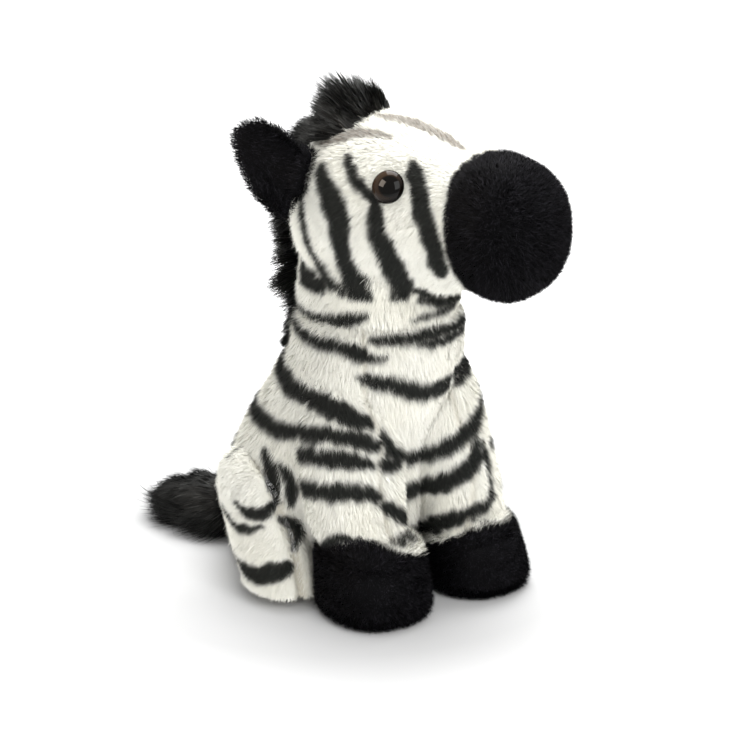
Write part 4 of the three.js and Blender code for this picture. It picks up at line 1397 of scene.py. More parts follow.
@dataclass
class Foreleg(Printed):
    """One foreleg with its hoof, standing in front of the torso."""

    side: Side
    torso: Torso
    bottom: float = 31.0
    shoulder: float = 99.0
    fill: float = 0.8

    @cached_property
    def form(self) -> SoftForm:
        """The leg from the shoulder down into the hoof.

        Returns:
            The form, a little fuller on the right.
        """
        s = self.side.value
        wider = 2.4 if self.side is Side.RIGHT else 0.6
        return SoftForm(
            rows=(
                (s * 22, -42, 120, 16, 15),
                (s * (22.5 + wider), -45, 88, 21.5 + wider, 21),
                (s * (25 + wider), -52, 60, 22 + wider, 22),
                (s * 28, -61, 30, 22, 22),
                (s * 28, -61, 17, 22, 22),
            ),
            ends=(16, 6),
        )

    @cached_property
    def hoof(self) -> SoftForm:
        """The hoof, fuller than the leg and flat underneath. The right one is set a little inward.

        Returns:
            The form.
        """
        if self.side is Side.RIGHT:
            rows = ((-26.6, -67, -0.5, 25.4, 27.0), (-27.0, -67, 14.0, 24.4, 26.2), (-26.7, -61, 43, 23.6, 24.0))
        else:
            rows = ((32.6, -64.5, -0.5, 25.0, 26.2), (31.0, -64.5, 14.0, 24.4, 25.6), (24.5, -61, 43, 23.2, 24.0))
        return SoftForm(rows=rows, ends=(8, 14), blunt=(3.2, 2), square=2.5)

    @cached_property
    def hoof_core(self) -> SoftForm:
        """The hoof as it is cut and filled, which the skin stays outside of.

        Returns:
            The form.
        """
        s = self.side.value
        return SoftForm(
            rows=((s * 29.5, -68, -0.5, 25, 27.5), (s * 29.5, -68, 19.5, 25, 27.5), (s * 27.5, -61, 39, 25, 25)),
            ends=(10, 15),
            blunt=(2.8, 2),
            square=2.4,
        )

    @property
    def coat(self) -> Coat:
        """The stripes of this side's leg."""
        return FORELEG_RIGHT_COAT if self.side is Side.RIGHT else FORELEG_LEFT_COAT

    def hoof_line(self, around: Array) -> Array:
        """Height of the seam between leg and hoof at an angle round the leg."""
        return np.interp(around, *np.array(HOOF_LINES[self.side]).T)

    def pile_colours(self, place: Array, roll: Array) -> Array:
        """The printed coat, the torso's stripes that run on over the shoulder, and black below the hoof's seam, with
        painted shade along the seams.

        Args:
            place: The strands' middles.
            roll: A random number from 0 to 1 for each strand.

        Returns:
            The colours.
        """
        around, up = self.coordinates(place)
        soft = wander(place, roll, 0.6, 8.0, 31)
        colours = ivory_print(self.coat, around, up, soft, place, roll)
        over = TORSO_COAT.ink(*self.torso.coordinates(place), Tone.CHARCOAL, soft) * (place[:, 2] > self.shoulder)
        colours = coat_colours(colours, CHARCOAL, over, np.modf(roll * 7.3)[0])
        black = up + 0.5 * soft < self.hoof_line(around)
        return np.where(black[:, None], plush_colour(place, roll), colours)

    def build(self) -> None:
        """Builds the leg and the hoof, each a skin and its pile."""
        body, label = f"{self.side.label}_foreleg", self.side.label
        points, faces = self.form.surface(-INSET, 56, 64)
        points[:, 2] = np.maximum(points[:, 2], self.bottom)
        points = self.tucked(self.torso.form.pushed_out(points, HUG), faces, 1.4, 1.8)
        colours, nodes = self.cloth_colours(points), [f"foreleg_{label}"]
        sew(f"foreleg_skin_{label}", (points, faces), colours, IVORY_PILE, body, nodes)
        root, normal, _ = BODY_PILE.scatter((points, faces), seed=31)
        in_hoof = ~self.hoof.outside(root, -INSET) & (root[:, 2] < 38)
        kept = self.torso.form.outside(root, HUG + 0.2) & ~in_hoof
        root, normal, nap = root[kept], normal[kept], np.array([0.0, -0.2, -1.0])
        around, up = self.coordinates(root)
        inner = np.clip(-normal[:, 0] * self.side.value, 0, 1) * rising(up, 70, 55)
        lengths = (1 - 0.4 * self.near_seam(root, 2.4)) * (0.5 + 0.5 * rising(up - self.hoof_line(around), 0, 12))
        lengths = lengths * (1 - 0.5 * rising(up, 100, 110)) * (1 - 0.5 * inner)
        BODY_PILE.grow(f"foreleg_pile_{label}", body, root, normal, nap, self.pile_colours, lengths, seed=32)
        self.build_hoof(body)

    def build_hoof(self, body: str) -> None:
        """Builds the hoof's skin and its short plush, which evens out what the filling pushes outward.

        Args:
            body: The body that it rides on.
        """
        label = self.side.label
        points, faces = self.hoof.surface(HOOF_GROW, 30, 64)
        points = self.hoof_core.pushed_out(points, CORE)
        points[:, 2] = np.maximum(points[:, 2], FLOOR_CLEARANCE)
        colours, nodes = self.pile_colours(points, np.full(len(points), 0.5)), [f"fore_hoof_{label}"]
        sew(f"fore_hoof_skin_{label}", (points, faces), colours, BLACK_PLUSH, body, nodes)
        root, normal, _ = SHORT_PLUSH.scatter((points, faces), seed=41)
        in_leg = ~self.form.outside(root, -INSET) & (root[:, 2] > 30)
        kept = (root[:, 2] >= 1.0) & ~in_leg
        root, normal = root[kept], normal[kept]
        upper = rising(root[:, 2], 26, 34)
        nap = np.stack([np.zeros(len(root)), -0.5 * (1 - upper), -0.8 + 1.8 * upper], axis=1)
        over = (self.hoof.depth(root, HOOF_GROW) - 1) * 24
        lengths = np.clip(1 - over / SHORT_PLUSH.length, 0.3, 1) * (1 - 0.4 * rising(root[:, 2], 38, 42))
        lengths *= 1 + 0.5 * rising(root[:, 2], 7, 1)
        SHORT_PLUSH.grow(f"fore_hoof_pile_{label}", body, root, normal, nap, self.pile_colours, lengths, seed=42)


@dataclass
class HindLeg(Printed):
    """One folded hind leg beside the seat, with its black sole."""

    side: Side
    torso: Torso
    foreleg: Foreleg
    sole: float = 7.0
    black_edge: float = 4.4
    fill: float = 0.7

    @cached_property
    def form(self) -> SoftForm:
        """The haunch, from its top to the ground.

        Returns:
            The form.
        """
        s = self.side.value
        foot = ((s * 52, -27, 12, 19, 23), (s * 52, -27, -0.5, 19, 23))
        rows = ((s * 47, 1, 68, 17, 22), (s * 50, -7, 44, 19.5, 26), *foot)
        return SoftForm(rows=rows, ends=(16, 9), blunt=(2, 2.8))

    @property
    def coat(self) -> Coat:
        """The stripes of this side's leg."""
        return HIND_RIGHT_COAT if self.side is Side.RIGHT else HIND_LEFT_COAT

    @property
    def neighbours(self) -> tuple[SoftForm, ...]:
        """The forms that it lies against."""
        return self.torso.form, self.foreleg.form, self.foreleg.hoof

    def pile_colours(self, place: Array, roll: Array) -> Array:
        """The printed coat with an uneven edge and painted shade along the seams, and black at the sole.

        Args:
            place: The strands' middles.
            roll: A random number from 0 to 1 for each strand.

        Returns:
            The colours.
        """
        around, up = self.coordinates(place)
        soft = wander(place, roll, 0.45, 6.0, 61)
        colours = ivory_print(self.coat, around, up, soft, place, roll)
        return np.where((up + soft < self.black_edge)[:, None], plush_colour(place, roll), colours)

    def clear(self, points: Array) -> Array:
        """Moves a skin's places out of the neighbours, against which it then lies.

        Args:
            points: Places of the skin.

        Returns:
            The moved places.
        """
        for form in self.neighbours:
            points = form.pushed_out(points, HUG)
        return points

    def build(self) -> None:
        """Builds the haunch and the sole, each a skin and its pile."""
        body, label = f"{self.side.label}_hind_leg", self.side.label
        points, faces = self.form.surface(-INSET, 50, 64)
        points[:, 2] = np.maximum(points[:, 2], self.sole - 1.5)
        points = self.clear(self.tucked(self.clear(points), faces, CREASE, 2.4))
        colours, nodes = self.cloth_colours(points), [f"hind_leg_{label}"]
        sew(f"hind_leg_skin_{label}", (points, faces), colours, IVORY_PILE, body, nodes)
        root, normal, _ = BODY_PILE.scatter((points, faces), seed=61)
        free = np.all([form.outside(root, HUG + 0.2) for form in self.neighbours], axis=0)
        kept = free & (root[:, 2] >= self.sole - 1)
        root, normal, nap = root[kept], normal[kept], np.array([0.35 * self.side.value, 0.3, -1.0])
        lengths = 0.7 - 0.25 * rising(root[:, 2], 11, 7)
        lengths *= 1 - 0.4 * self.near_seam(root, 2.6)
        lengths *= 1 - 0.4 * np.clip(normal[:, 2], 0, 1)
        BODY_PILE.grow(f"hind_leg_pile_{label}", body, root, normal, nap, self.pile_colours, lengths, seed=62)
        self.build_sole(body)

    def build_sole(self, body: str) -> None:
        """Builds the thin black sole with its short plush.

        Args:
            body: The body that it rides on.
        """
        s, label = self.side.value, self.side.label
        rows = ((s * 52, -27, -0.5, 18, 22), (s * 52, -27, self.sole, 18, 22))
        points, faces = SoftForm(rows=rows, ends=(7, 2), blunt=(2.8, 2)).surface(-INSET, 8, 64)
        points[:, 2] = np.clip(points[:, 2], FLOOR_CLEARANCE, self.sole - 2)
        points = self.foreleg.hoof.pushed_out(self.torso.form.pushed_out(points, HUG), HUG)
        skin, nodes = (points, faces), [f"hind_hoof_{label}"]
        # The sole's skin is a share of the plush's black, a painted shade of the pile's depth
        sew(f"hind_sole_skin_{label}", skin, BLACK * PLUSH_DEPTH_SHADE, BLACK_PLUSH, body, nodes)
        root, normal, _ = SHORT_PLUSH.scatter(skin, seed=71)
        free = self.torso.form.outside(root, HUG + 0.2) & self.foreleg.hoof.outside(root, HUG + 0.2)
        kept = free & (np.abs(normal[:, 2]) < 0.9)
        root, normal, nap = root[kept], normal[kept], np.array([0.0, 0.0, -1.0])
        SHORT_PLUSH.grow(f"hind_sole_pile_{label}", body, root, normal, nap, plush_colour, 0.55, seed=72)


@dataclass
class Head:
    """The head with its collar and muzzle, worked out in the head's own frame."""

    form: SoftForm = SoftForm(
        rows=(
            (0, 37, 54, 37, 39),
            (0, 8, 54, 43, 45),
            (0, -20, 54, 40, 43),
            (0, -42, 56, 35, 37),
            (0, -61, 57, 30.5, 31),
            (0, -69, 57, 30.5, 31),
        ),
        ends=(24, 3),
        deep=(0.0, 0.0, 1.0),
    )
    collar: SoftForm = SoftForm(rows=((0, 0, 4, 40.5, 39.5), (0, 0, 44, 38, 37)), ends=(3, 10), blunt=(2.5, 2))
    muzzle: SoftForm = SoftForm(
        rows=(
            (0, -42, 57, 30.5, 30.5),
            (0, -61, 56.6, 30.5, 30.5),
            (0, -77.5, 53.2, 32, 29.6),
            (0, -95, 50.4, 26.5, 24.5),
        ),
        ends=(3, 20),
        blunt=(2, 2.3),
        deep=(0.0, 0.0, 1.0),
        square=2.25,
    )
    muzzle_core: SoftForm = SoftForm(
        rows=((0, -42, 57, 30.5, 31), (0, -61, 57, 30.5, 31), (0, -77.5, 54.5, 32, 32), (0, -94, 52, 25, 26)),
        ends=(3, 20),
        blunt=(2, 2.3),
        deep=(0.0, 0.0, 1.0),
        square=2.25,
    )
    seam: float = 61.0
    ball_clearance: float = 0.7
    collar_top: float = 18.0
    fill: float = 0.85

    @property
    def cup(self) -> float:
        """Radius of the hollow that the neck's ball turns in."""
        return NECK_RADIUS - INSET + self.ball_clearance

    def coordinates(self, points: Array) -> tuple[Array, Array]:
        """Degrees from the top toward the right side, and millimetres ahead of the neck, in the head's frame."""
        return np.degrees(np.arctan2(-points[:, 0], points[:, 2] - 55)), -points[:, 1]

    def collar_coordinates(self, points: Array) -> tuple[Array, Array]:
        """Degrees from the body's straight ahead toward the right side, and height above the neck's centre."""
        world = head_to_world(points) - NECK
        return np.degrees(np.arctan2(-world[:, 0], -world[:, 1])), world[:, 2]

    def eye_place(self, side: Side) -> tuple[Array, Array]:
        """Where an eye stands on the head, and the direction that it faces.

        Args:
            side: The eye's side.

        Returns:
            The place and the direction, in the head's frame.
        """
        angle = math.radians(EYE_ANGLE) if side is Side.LEFT else math.pi - math.radians(EYE_ANGLE)
        distance = EYE_FORWARD + HEAD_BEHIND
        out = self.form.normal(distance, angle)
        return self.form.point(distance, angle) - out * EYE_SUNK, out

    @cached_property
    def skin(self) -> Mesh:
        """Head and collar sewn into one skin, open below as a cup round the neck's ball.

        Returns:
            The places and the triangles.
        """
        points, faces = fused([self.form.surface(-INSET, 60, 80), self.collar.surface(-INSET, 30, 80)], 2.2, 6)
        points[:, 1] = np.maximum(points[:, 1], -(self.seam - 0.3))
        points[:, 0] -= far_lean(points[:, 0], 34 - points[:, 2])
        away = np.linalg.norm(points, axis=1, keepdims=True)
        return np.where(away < self.cup, points * self.cup / np.maximum(away, 1e-6), points), faces

    def nap(self, points: Array) -> Array:
        """Brushed direction: back from the nose over the head and cheeks, and down on the collar.

        Args:
            points: Places on the skin.

        Returns:
            The directions.
        """
        side = np.clip(np.abs(points[:, 0]) / 30, 0, 1)
        low = rising(points[:, 2], 34, 12)
        back = np.stack([np.zeros(len(points)), 1 - 0.45 * side, -0.75 * side], axis=1)
        return back * (1 - low[:, None]) + np.array([0.0, 0.0, -1.0]) * low[:, None]

    def pile_colours(self, place: Array, roll: Array) -> Array:
        """The printed coat of head and collar, and black ahead of the muzzle's line.

        Args:
            place: The strands' middles, in the head's frame.
            roll: A random number from 0 to 1 for each strand.

        Returns:
            The colours.
        """
        around, along = self.coordinates(place)
        soft = wander(place, roll, 0.45, 6.0, 81)
        upper = ivory_print(HEAD_COAT, around, along, soft, place, roll)
        line = np.interp(np.abs(around), *np.array(MUZZLE_LINE).T)
        upper = np.where((along + soft > line)[:, None], plush_colour(place, roll), upper)
        lower = ivory_print(COLLAR_COAT, *self.collar_coordinates(place), soft, place, roll)
        return np.where((place[:, 2] < self.collar_top)[:, None], lower, upper)

    def world_pile_colours(self, place: Array, roll: Array) -> Array:
        """The same colours for places in the world."""
        return self.pile_colours(world_to_head(place), roll)

    def build(self) -> None:
        """Builds the head's skin and pile and the muzzle's."""
        points, faces = self.skin
        colours = self.pile_colours(points, np.full(len(points), 0.5))
        sew("head_skin", (head_to_world(points), faces), colours, IVORY_PILE, "head", ["head_cover"])
        root, normal, roll = HEAD_PILE.scatter(self.skin, seed=82)
        # None in the cup, at the muzzle's seam or in an eye, and few under the mane
        share = np.ones(len(root))
        share[np.linalg.norm(root, axis=1) < self.cup + 0.3] = 0
        share[root[:, 1] < -(self.seam - 0.8)] = 0
        share[(np.abs(root[:, 0]) < 7) & (root[:, 1] > 0) & (root[:, 2] > 20)] = 0.25
        for side in Side:
            centre, out = self.eye_place(side)
            aside = np.linalg.norm(tangential(root - centre, out[None]), axis=1)
            share[(aside < 7.0) & (np.abs((root - centre) @ out) <= 12)] = 0
        root, normal = root[roll < share], normal[roll < share]
        lengths = 1 - 0.25 * rising(root[:, 2], 60, 90)
        lengths *= 1 - 0.35 * rising(-root[:, 1], 30, 60)
        lengths *= (1 - 0.36 * far_lean(root[:, 0], 34 - root[:, 2])) * (1 - 0.2 * np.clip(normal[:, 2], 0, 1))
        for side in Side:
            centre, _ = self.eye_place(side)
            lengths *= 1 - 0.55 * bell(np.linalg.norm(root - centre, axis=1) - 7, 5)
        near, nap = root[:, 0] < 0, self.nap(root)
        for seed, (half, label) in enumerate(((near, "right"), (~near, "left")), 83):
            strands = root[half], normal[half], nap[half], self.world_pile_colours, lengths[half], seed
            grow_on_head(HEAD_PILE, f"head_pile_{label}", "head", *strands)
        self.build_muzzle()

    def build_muzzle(self) -> None:
        """Builds the muzzle's skin and its short plush, which evens out what the filling pushes outward."""
        points, faces = self.muzzle.surface(MUZZLE_GROW, 40, 72)
        points = self.muzzle_core.pushed_out(points, CORE)
        points[:, 1] = np.minimum(points[:, 1], -(self.seam + 0.1))
        skin, colours = (head_to_world(points), faces), self.pile_colours(points, np.full(len(points), 0.5))
        sew("muzzle_skin", skin, colours, BLACK_PLUSH, "head", ["muzzle_cover"])
        root, normal, _ = SHORT_PLUSH.scatter((points, faces), seed=91)
        kept = root[:, 1] < -(self.seam + 0.4)
        root, normal, nap = root[kept], normal[kept], np.array([0.2, 0.6, -0.5])
        over = (self.muzzle.depth(root, MUZZLE_GROW) - 1) * 28
        lengths = np.clip(1 - over / SHORT_PLUSH.length, 0.3, 1)
        grow_on_head(SHORT_PLUSH, "muzzle_pile", "head", root, normal, nap, self.world_pile_colours, lengths, 92)


def grow_on_head(
    pile: Pile,
    name: str,
    body: str,
    root: Array,
    normal: Array,
    nap: Array,
    colour: Callable[[Array, Array], Array],
    scale: Array | float,
    seed: int,
) -> bpy.types.Object:
    """Grows strands whose roots, normals and nap are given in the head's frame, as Pile.grow does."""
    place, out, comb = head_to_world(root), vectors_to_world(normal), vectors_to_world(nap)
    return pile.grow(name, body, place, out, comb, colour, scale, seed)


def basis_from(direction: Array) -> tuple[Array, Array]:
    """Two unit directions square to a third, the first as level as it can be."""
    level = unit(np.cross(np.array([0.0, 0.0, 1.0]), direction))
    return level, np.cross(direction, level)


@dataclass
class Eye:
    """A plastic eye, a clear dome on a shank."""

    side: Side
    head: Head
    radius: float = 7.5
    height: float = 5.5
    shank: tuple[float, float] = (2.2, 11.0)

    def lathe(self, profile: Array, centre: Array, out: Array, sides: int = 64) -> Mesh:
        """Turns a profile of radius and height about the eye's axis.

        Args:
            profile: Rows of radius and height in millimetres, from one pole to the other.
            centre: The profile's origin.
            out: The axis.
            sides: Number of places round each ring.

        Returns:
            A closed skin.
        """
        level, up = basis_from(out)
        angle = np.linspace(0, 2 * math.pi, sides, endpoint=False)
        ring = np.cos(angle)[:, None] * level + np.sin(angle)[:, None] * up
        grid = centre + profile[1:-1, 0][:, None, None] * ring[None] + profile[1:-1, 1][:, None, None] * out
        poles = centre + profile[[0, -1], 1][:, None] * out
        return closed_tube(grid, poles)

    def build(self) -> None:
        """Builds the eye with its shank as one piece that replaces the CAD eye."""
        centre, out = self.head.eye_place(self.side)
        turn = np.linspace(0, math.pi / 2, 22)
        dome = np.stack([self.radius * np.cos(turn), 1 + (self.height - 1) * np.sin(turn)], axis=1)
        thin, deep = self.shank
        foot = [[0, -deep], [thin, -deep], [thin, -0.3], [thin + 0.3, 0]]
        rim = [[self.radius - 0.3, 0], [self.radius, 0.35]]
        points, faces = self.lathe(np.vstack([foot, rim, dome]), centre, out)
        eye = put_mesh(f"eye_{self.side.label}_dome", head_to_world(points), faces)
        middle, facing = head_to_world(centre[None])[0], vectors_to_world(out[None])[0]
        ahead = unit(np.cross([0.0, 0.0, 1.0], facing)) * -self.side.value
        dress(eye, EyeFinish(f"eye_gloss_{self.side.label}", middle, facing, ahead, self.radius), "head")
        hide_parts(f"eye_{self.side.label}")


@dataclass
class Ear:
    """One ear: a cupped leaf on a rolled root, lined inside."""

    side: Side
    head: Head
    length: float = 31.8
    half_width: float = 19.5
    thick: float = 2.6
    cup: float = 12.0
    behind_neck: float = 15.2
    angle: float = 25.0
    root_radius: float = 3.6
    root_half: float = 11.0
    standoff: float = 1.4
    lining_gap: float = 0.7
    lift: float = 12.0
    drop: float = 4.0
    curl: float = 0.3

    @property
    def fold(self) -> float:
        """Height of the raised edges: the left ear lies flatter."""
        return self.cup * (1.0 if self.side is Side.RIGHT else 0.3)

    @property
    def sag(self) -> float:
        """Distance by which this side's leaf hangs: more on the left."""
        return self.drop + (0.0 if self.side is Side.RIGHT else 5.0)

    @property
    def sweep(self) -> float:
        """Degrees from straight back to where the leaf points."""
        return 41.0 if self.side is Side.RIGHT else -2.0

    @cached_property
    def frame(self) -> tuple[Array, Array, Array, Array]:
        """The ear's own axes, in the head's frame.

        Returns:
            The root's place, the fold axis, the leaf's direction and its open side.
        """
        s = self.side.value
        form = self.head.form
        angle = math.radians(self.angle) if s > 0 else math.pi - math.radians(self.angle)
        distance = HEAD_BEHIND - self.behind_neck
        surface, out = form.point(distance, angle), form.normal(distance, angle)
        down = unit(form.point(distance, angle - s * 0.2) - form.point(distance, angle + s * 0.2))
        back = unit(np.array([0.0, 1.0, 0.0]) - down * down[1])
        turn = math.radians(s * self.sweep)
        reach = back * math.cos(turn) + np.cross(down, back) * math.sin(turn)
        open_side = unit(np.cross(reach, down) * s)
        if open_side @ out < 0:
            open_side = -open_side
        return surface + out * self.standoff, down, reach, open_side

    def half(self, share: Array) -> Array:
        """Half width at a share of the length: a sine that starts swollen and ends blunt."""
        swell = np.sin(math.pi * (0.28 + 0.72 * share))
        return np.maximum(0.7, self.half_width * np.maximum(swell, 0) ** 0.62)

    def leaf(self, offset: float, thick: float, margin: float, start: float) -> Mesh:
        """A cupped leaf: flattened rings along its length, raised at both edges by the square of the width.

        Args:
            offset: Distance from the middle sheet toward the open side.
            thick: Thickness.
            margin: How much smaller it is than the ear at its edges.
            start: Distance from the root at which it begins.

        Returns:
            A closed skin in the head's frame.
        """
        root, down, reach, open_side = self.frame
        step = np.linspace(0, 1, 34)
        along = start + (self.length - margin - start) * step
        half = np.maximum(0.7, self.half(along / self.length) - margin)
        body = thick * np.minimum(1, np.sqrt(np.maximum(0.03, 1 - step**2)) + 0.25)
        angle = np.linspace(0, 2 * math.pi, 48, endpoint=False)
        width = half[:, None] * np.cos(angle)[None]
        upper = width < 0
        width = width * np.where(upper, 1.05, 1.2 - 0.6 * step[:, None] ** 2)
        share = (width / self.half_width) ** 2
        lift = self.fold * share * np.where(upper, 1.5, 1.0) * np.minimum(1, 0.2 + 2 * along / self.length)[:, None]
        width = width * (1 - np.where(upper, self.curl, 0.1) * share)
        out = offset + body[:, None] / 2 * np.sin(angle)[None] + lift
        centre = along[:, None] * reach + (self.sag - self.lift * along / self.length)[:, None] * down
        grid = root + centre[:, None] + width[..., None] * down + out[..., None] * open_side
        poles = root + centre[[0, -1]] + offset * open_side
        return closed_tube(grid, poles)

    def build(self) -> None:
        """Builds the leaf with its rolled root, the lining and their plush."""
        body, label = f"{self.side.label}_ear", self.side.label
        root, down, reach, open_side = self.frame
        ends = (-self.root_half, 0.0, self.root_half)
        roll = SoftForm(
            rows=tuple((*(root + down * t), self.root_radius, self.root_radius) for t in ends),
            ends=(4, 4),
            across=tuple(reach),
            deep=tuple(open_side),
        )
        outer = fused([self.leaf(0.0, self.thick, 0.0, 0.0), roll.surface(0.0, 16, 24)], 0.9, 3)
        lining = self.leaf(self.thick / 2 + 0.6 + self.lining_gap, 1.2, 3.0, self.root_radius + 0.35)
        # The ear's skins are shares of the plush's black, a painted shade of the pile's depth
        for (points, faces), name, share in ((outer, "ear", PLUSH_DEPTH_SHADE), (lining, "ear_lining", LINING_DEPTH_SHADE)):
            skin = head_to_world(points), faces
            sew(f"{name}_skin_{label}", skin, BLACK * share, BLACK_PLUSH, body, [f"{name}_{label}"])

        def dark_plush(place: Array, roll: Array) -> Array:
            """The lining's plush, at half the brightness of the ear's."""
            return plush_colour(place, roll) * 0.5

        sheets = ((outer, "ear_pile", plush_colour, 1.0), (lining, "ear_lining_pile", dark_plush, 0.4))
        for k, (sheet, name, ink, length) in enumerate(sheets):
            place, normal, _ = EAR_PLUSH.scatter(sheet, 95 + k)
            kept = self.head.form.depth(place, -INSET) > 1
            strands = place[kept], normal[kept], reach, ink, length, 96 + k
            grow_on_head(EAR_PLUSH, f"{name}_{label}", body, *strands)


@dataclass
class Mane:
    """Long charcoal pile along the midline, from the forelock over the crown and down the nape."""

    head: Head
    torso: Torso
    half_width: float = 11.5
    far_half: float = 6.0
    forelock: float = 1.0
    bottom: float = 4.5
    neck_top: float = 128.0
    neck_drop: float = 20.0

    def build(self) -> None:
        """Builds the mane on the head and the short one on the back of the neck."""
        self.build_head()
        self.build_neck()

    def build_head(self) -> None:
        """Builds the part on the head, fullest at the crown and drooping at the nape."""
        root, normal, _ = MANE_HAIR.scatter(self.head.skin, seed=101)
        side = np.interp(root[:, 1], (-2, 0, 6, 13, 26, 34), (9, 18, 24, 25, 21, self.half_width))
        kept = (root[:, 0] > -side) & (root[:, 0] < self.far_half)
        kept &= (root[:, 1] > -self.forelock) & (root[:, 2] > self.bottom)
        kept &= (normal[:, 1] > 0.2) | (normal[:, 2] > 0.2)
        kept &= np.linalg.norm(root, axis=1) > self.head.cup + 0.3
        root, normal = root[kept], normal[kept]
        height = rising(root[:, 2], 20, 90)
        nape = 1 - height
        behind = rising(root[:, 1], 14, 30) * height
        lift = normal + np.array([0.0, 0.5, 0.3])
        lift[:, 0] += np.minimum(root[:, 0], 0) * 0.02 - 0.14 - 0.65 * nape - 0.3 * behind
        lift[:, 1] += 0.35 * behind
        lift[:, 2] -= 0.45 * nape + 0.2 * behind + 1.2 * rising(root[:, 2], 24, 8)
        nap = np.stack([-0.3 - 0.7 * nape, 0.8 * height, -1.1 * nape], axis=1)
        front = rising(root[:, 1], -self.forelock, 8 - self.forelock)
        aside = rising(-root[:, 0], 6, 16)
        down_nape = np.interp(root[:, 2], (5, 14, 22, 34, 50, 70, 90), (1.5, 1.12, 0.96, 1.15, 1.25, 1.1, 1.0))
        crown = np.interp(root[:, 1], (0, 5, 10, 15, 20, 27, 36), (1.0, 1.14, 1.25, 1.0, 0.84, 0.78, 0.95))
        peak = 1 + (crown - 1) * height
        lengths = (0.56 + 0.44 * front) * (1 - 0.45 * aside * height) * down_nape * peak
        strands = root, unit(lift), nap, hair_colour, lengths, 102
        hair = grow_on_head(MANE_HAIR, "mane_hair_head", "head", *strands)
        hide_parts("mane_head")

    def build_neck(self) -> None:
        """Builds the part on the neck, as far round as the turned nape, which it meets when the head turns."""
        root, normal, _ = MANE_HAIR.scatter(self.torso.skin, seed=103)
        low = self.neck_top - self.neck_drop + 0.55 * np.clip(-root[:, 0] - 6, 0, None)
        kept = (root[:, 0] > -27) & (root[:, 0] < 9) & (root[:, 2] < 134) & (root[:, 2] > low)
        kept &= normal[:, 1] > 0.2
        root, normal, nap = root[kept], normal[kept], np.array([-0.5, 0.1, -1.0])
        share = rising(root[:, 2], self.neck_top - self.neck_drop, self.neck_top)
        aside = rising(-root[:, 0], 6, 18)
        lift = unit(normal + np.array([-0.3, 0.0, -0.4]) - np.outer(aside, (0.0, 0.0, 0.5)))
        lengths = (0.88 + 0.25 * share) * (1 - 0.45 * aside)
        hair = MANE_HAIR.grow("mane_hair_neck", "torso", root, lift, nap, hair_colour, lengths, seed=104)
        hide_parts("mane_neck")


@dataclass
class Tail:
    """The brush tail, lying on the ground behind the seat."""

    torso: Torso
    fill: float = 0.4
    root: Point = (-3.0, 62.97, 16.0)
    end: tuple[float, float] = (-46.0, 95.0)
    clearance: float = 1.0

    @cached_property
    def form(self) -> SoftForm:
        """The whole brush, as the CAD solid has it.

        Returns:
            The form.
        """
        x, y, z = self.root
        sideways = unit(np.array([self.end[1] - y, x - self.end[0], 0.0]))
        return SoftForm(
            rows=((x, y, z, 9, 9), (-27, 57, 14, 18, 14.5), (-39, 71, 13, 18, 13), (-48, 98, 9, 9, 9)),
            ends=(8, 12),
            across=tuple(sideways),
            deep=(0.0, 0.0, 1.0),
        )

    def build(self) -> None:
        """Builds the core and the long hair round it."""
        points, faces = self.form.surface(-6.0, 40, 40)
        points[:, 2] = np.maximum(points[:, 2], self.clearance)
        points = self.torso.form.pushed_out(points, 0.5)
        # The core is a share of the hair's colour, a painted shade of the hair's depth
        sew("tail_core", (points, faces), HAIR * HAIR_DEPTH_SHADE, CHARCOAL_HAIR, "tail", ["tail"])

        def dark_hair(place: Array, roll: Array) -> Array:
            """The tail's hair, darker than the mane's."""
            return hair_colour(place, roll) * 0.5

        root, normal, _ = TAIL_HAIR.scatter((points, faces), seed=111)
        root, normal = root[root[:, 2] > 1.3], normal[root[:, 2] > 1.3]
        along = np.array([-0.62, 0.78, -0.3])
        near = np.clip(-normal @ np.array([0.6, 0.8, 0.0]), 0, 1) * rising(root[:, 2], 20, 8)
        nap = along + np.array([-0.6, -1.1, -0.3]) * near[:, None]
        lengths = (1 - 0.3 * np.clip(normal[:, 2], 0, 1)) * (1 + 0.5 * near)
        out = unit(normal - np.array([0, 0, 0.25]))
        TAIL_HAIR.grow("tail_hair", "tail", root, out, nap, dark_hair, lengths, seed=112)


@dataclass
class Filling:
    """The pieces inside, which keep their CAD shapes and get their own materials."""

    nodes: dict[str, bpy.types.Object]
    fibre: ClothFinish = ClothFinish("fibre_filling", (0.95, 0.95, 0.94), (0.8, 0.8, 0.79), 260.0, 0.95, 0.0008)
    pellets: ClothFinish = ClothFinish(
        "pellet_bag_cloth", (0.72, 0.68, 0.58), (0.55, 0.52, 0.44), 420.0, 0.9, 0.0006
    )
    washer: ClothFinish = ClothFinish(
        "washer_plastic_white", (0.84, 0.84, 0.83), (0.78, 0.78, 0.77), 150.0, 0.45, 0.00005
    )

    def build(self) -> None:
        """Assigns the materials to the shown CAD nodes."""
        fibre, pellets, washer = (finish.material() for finish in (self.fibre, self.pellets, self.washer))
        for name, node in self.nodes.items():
            if node.hide_render:
                continue
            chosen = pellets if name == "pellet_bag" else washer if "washer" in name else fibre
            node.data.materials.clear()
            node.data.materials.append(chosen)
            LOG.info("%s keeps its CAD shape in %s", name, chosen.name)


def placed(
    thing: bpy.types.Camera | bpy.types.Light, axes: tuple[Array, Array, Array], place: Array
) -> bpy.types.Object:
    """Hangs a camera or a lamp in the scene.

    Args:
        thing: The camera or lamp, whose name the object takes.
        axes: Directions of its right, its top and its back.
        place: Its place in metres.

    Returns:
        The object.
    """
    made = bpy.data.objects.new(thing.name, thing)
    bpy.context.scene.collection.objects.link(made)
    matrix = np.eye(4)
    matrix[:3, :3], matrix[:3, 3] = np.stack(axes, axis=1), place
    made.matrix_world = Matrix(matrix.tolist())
    return made


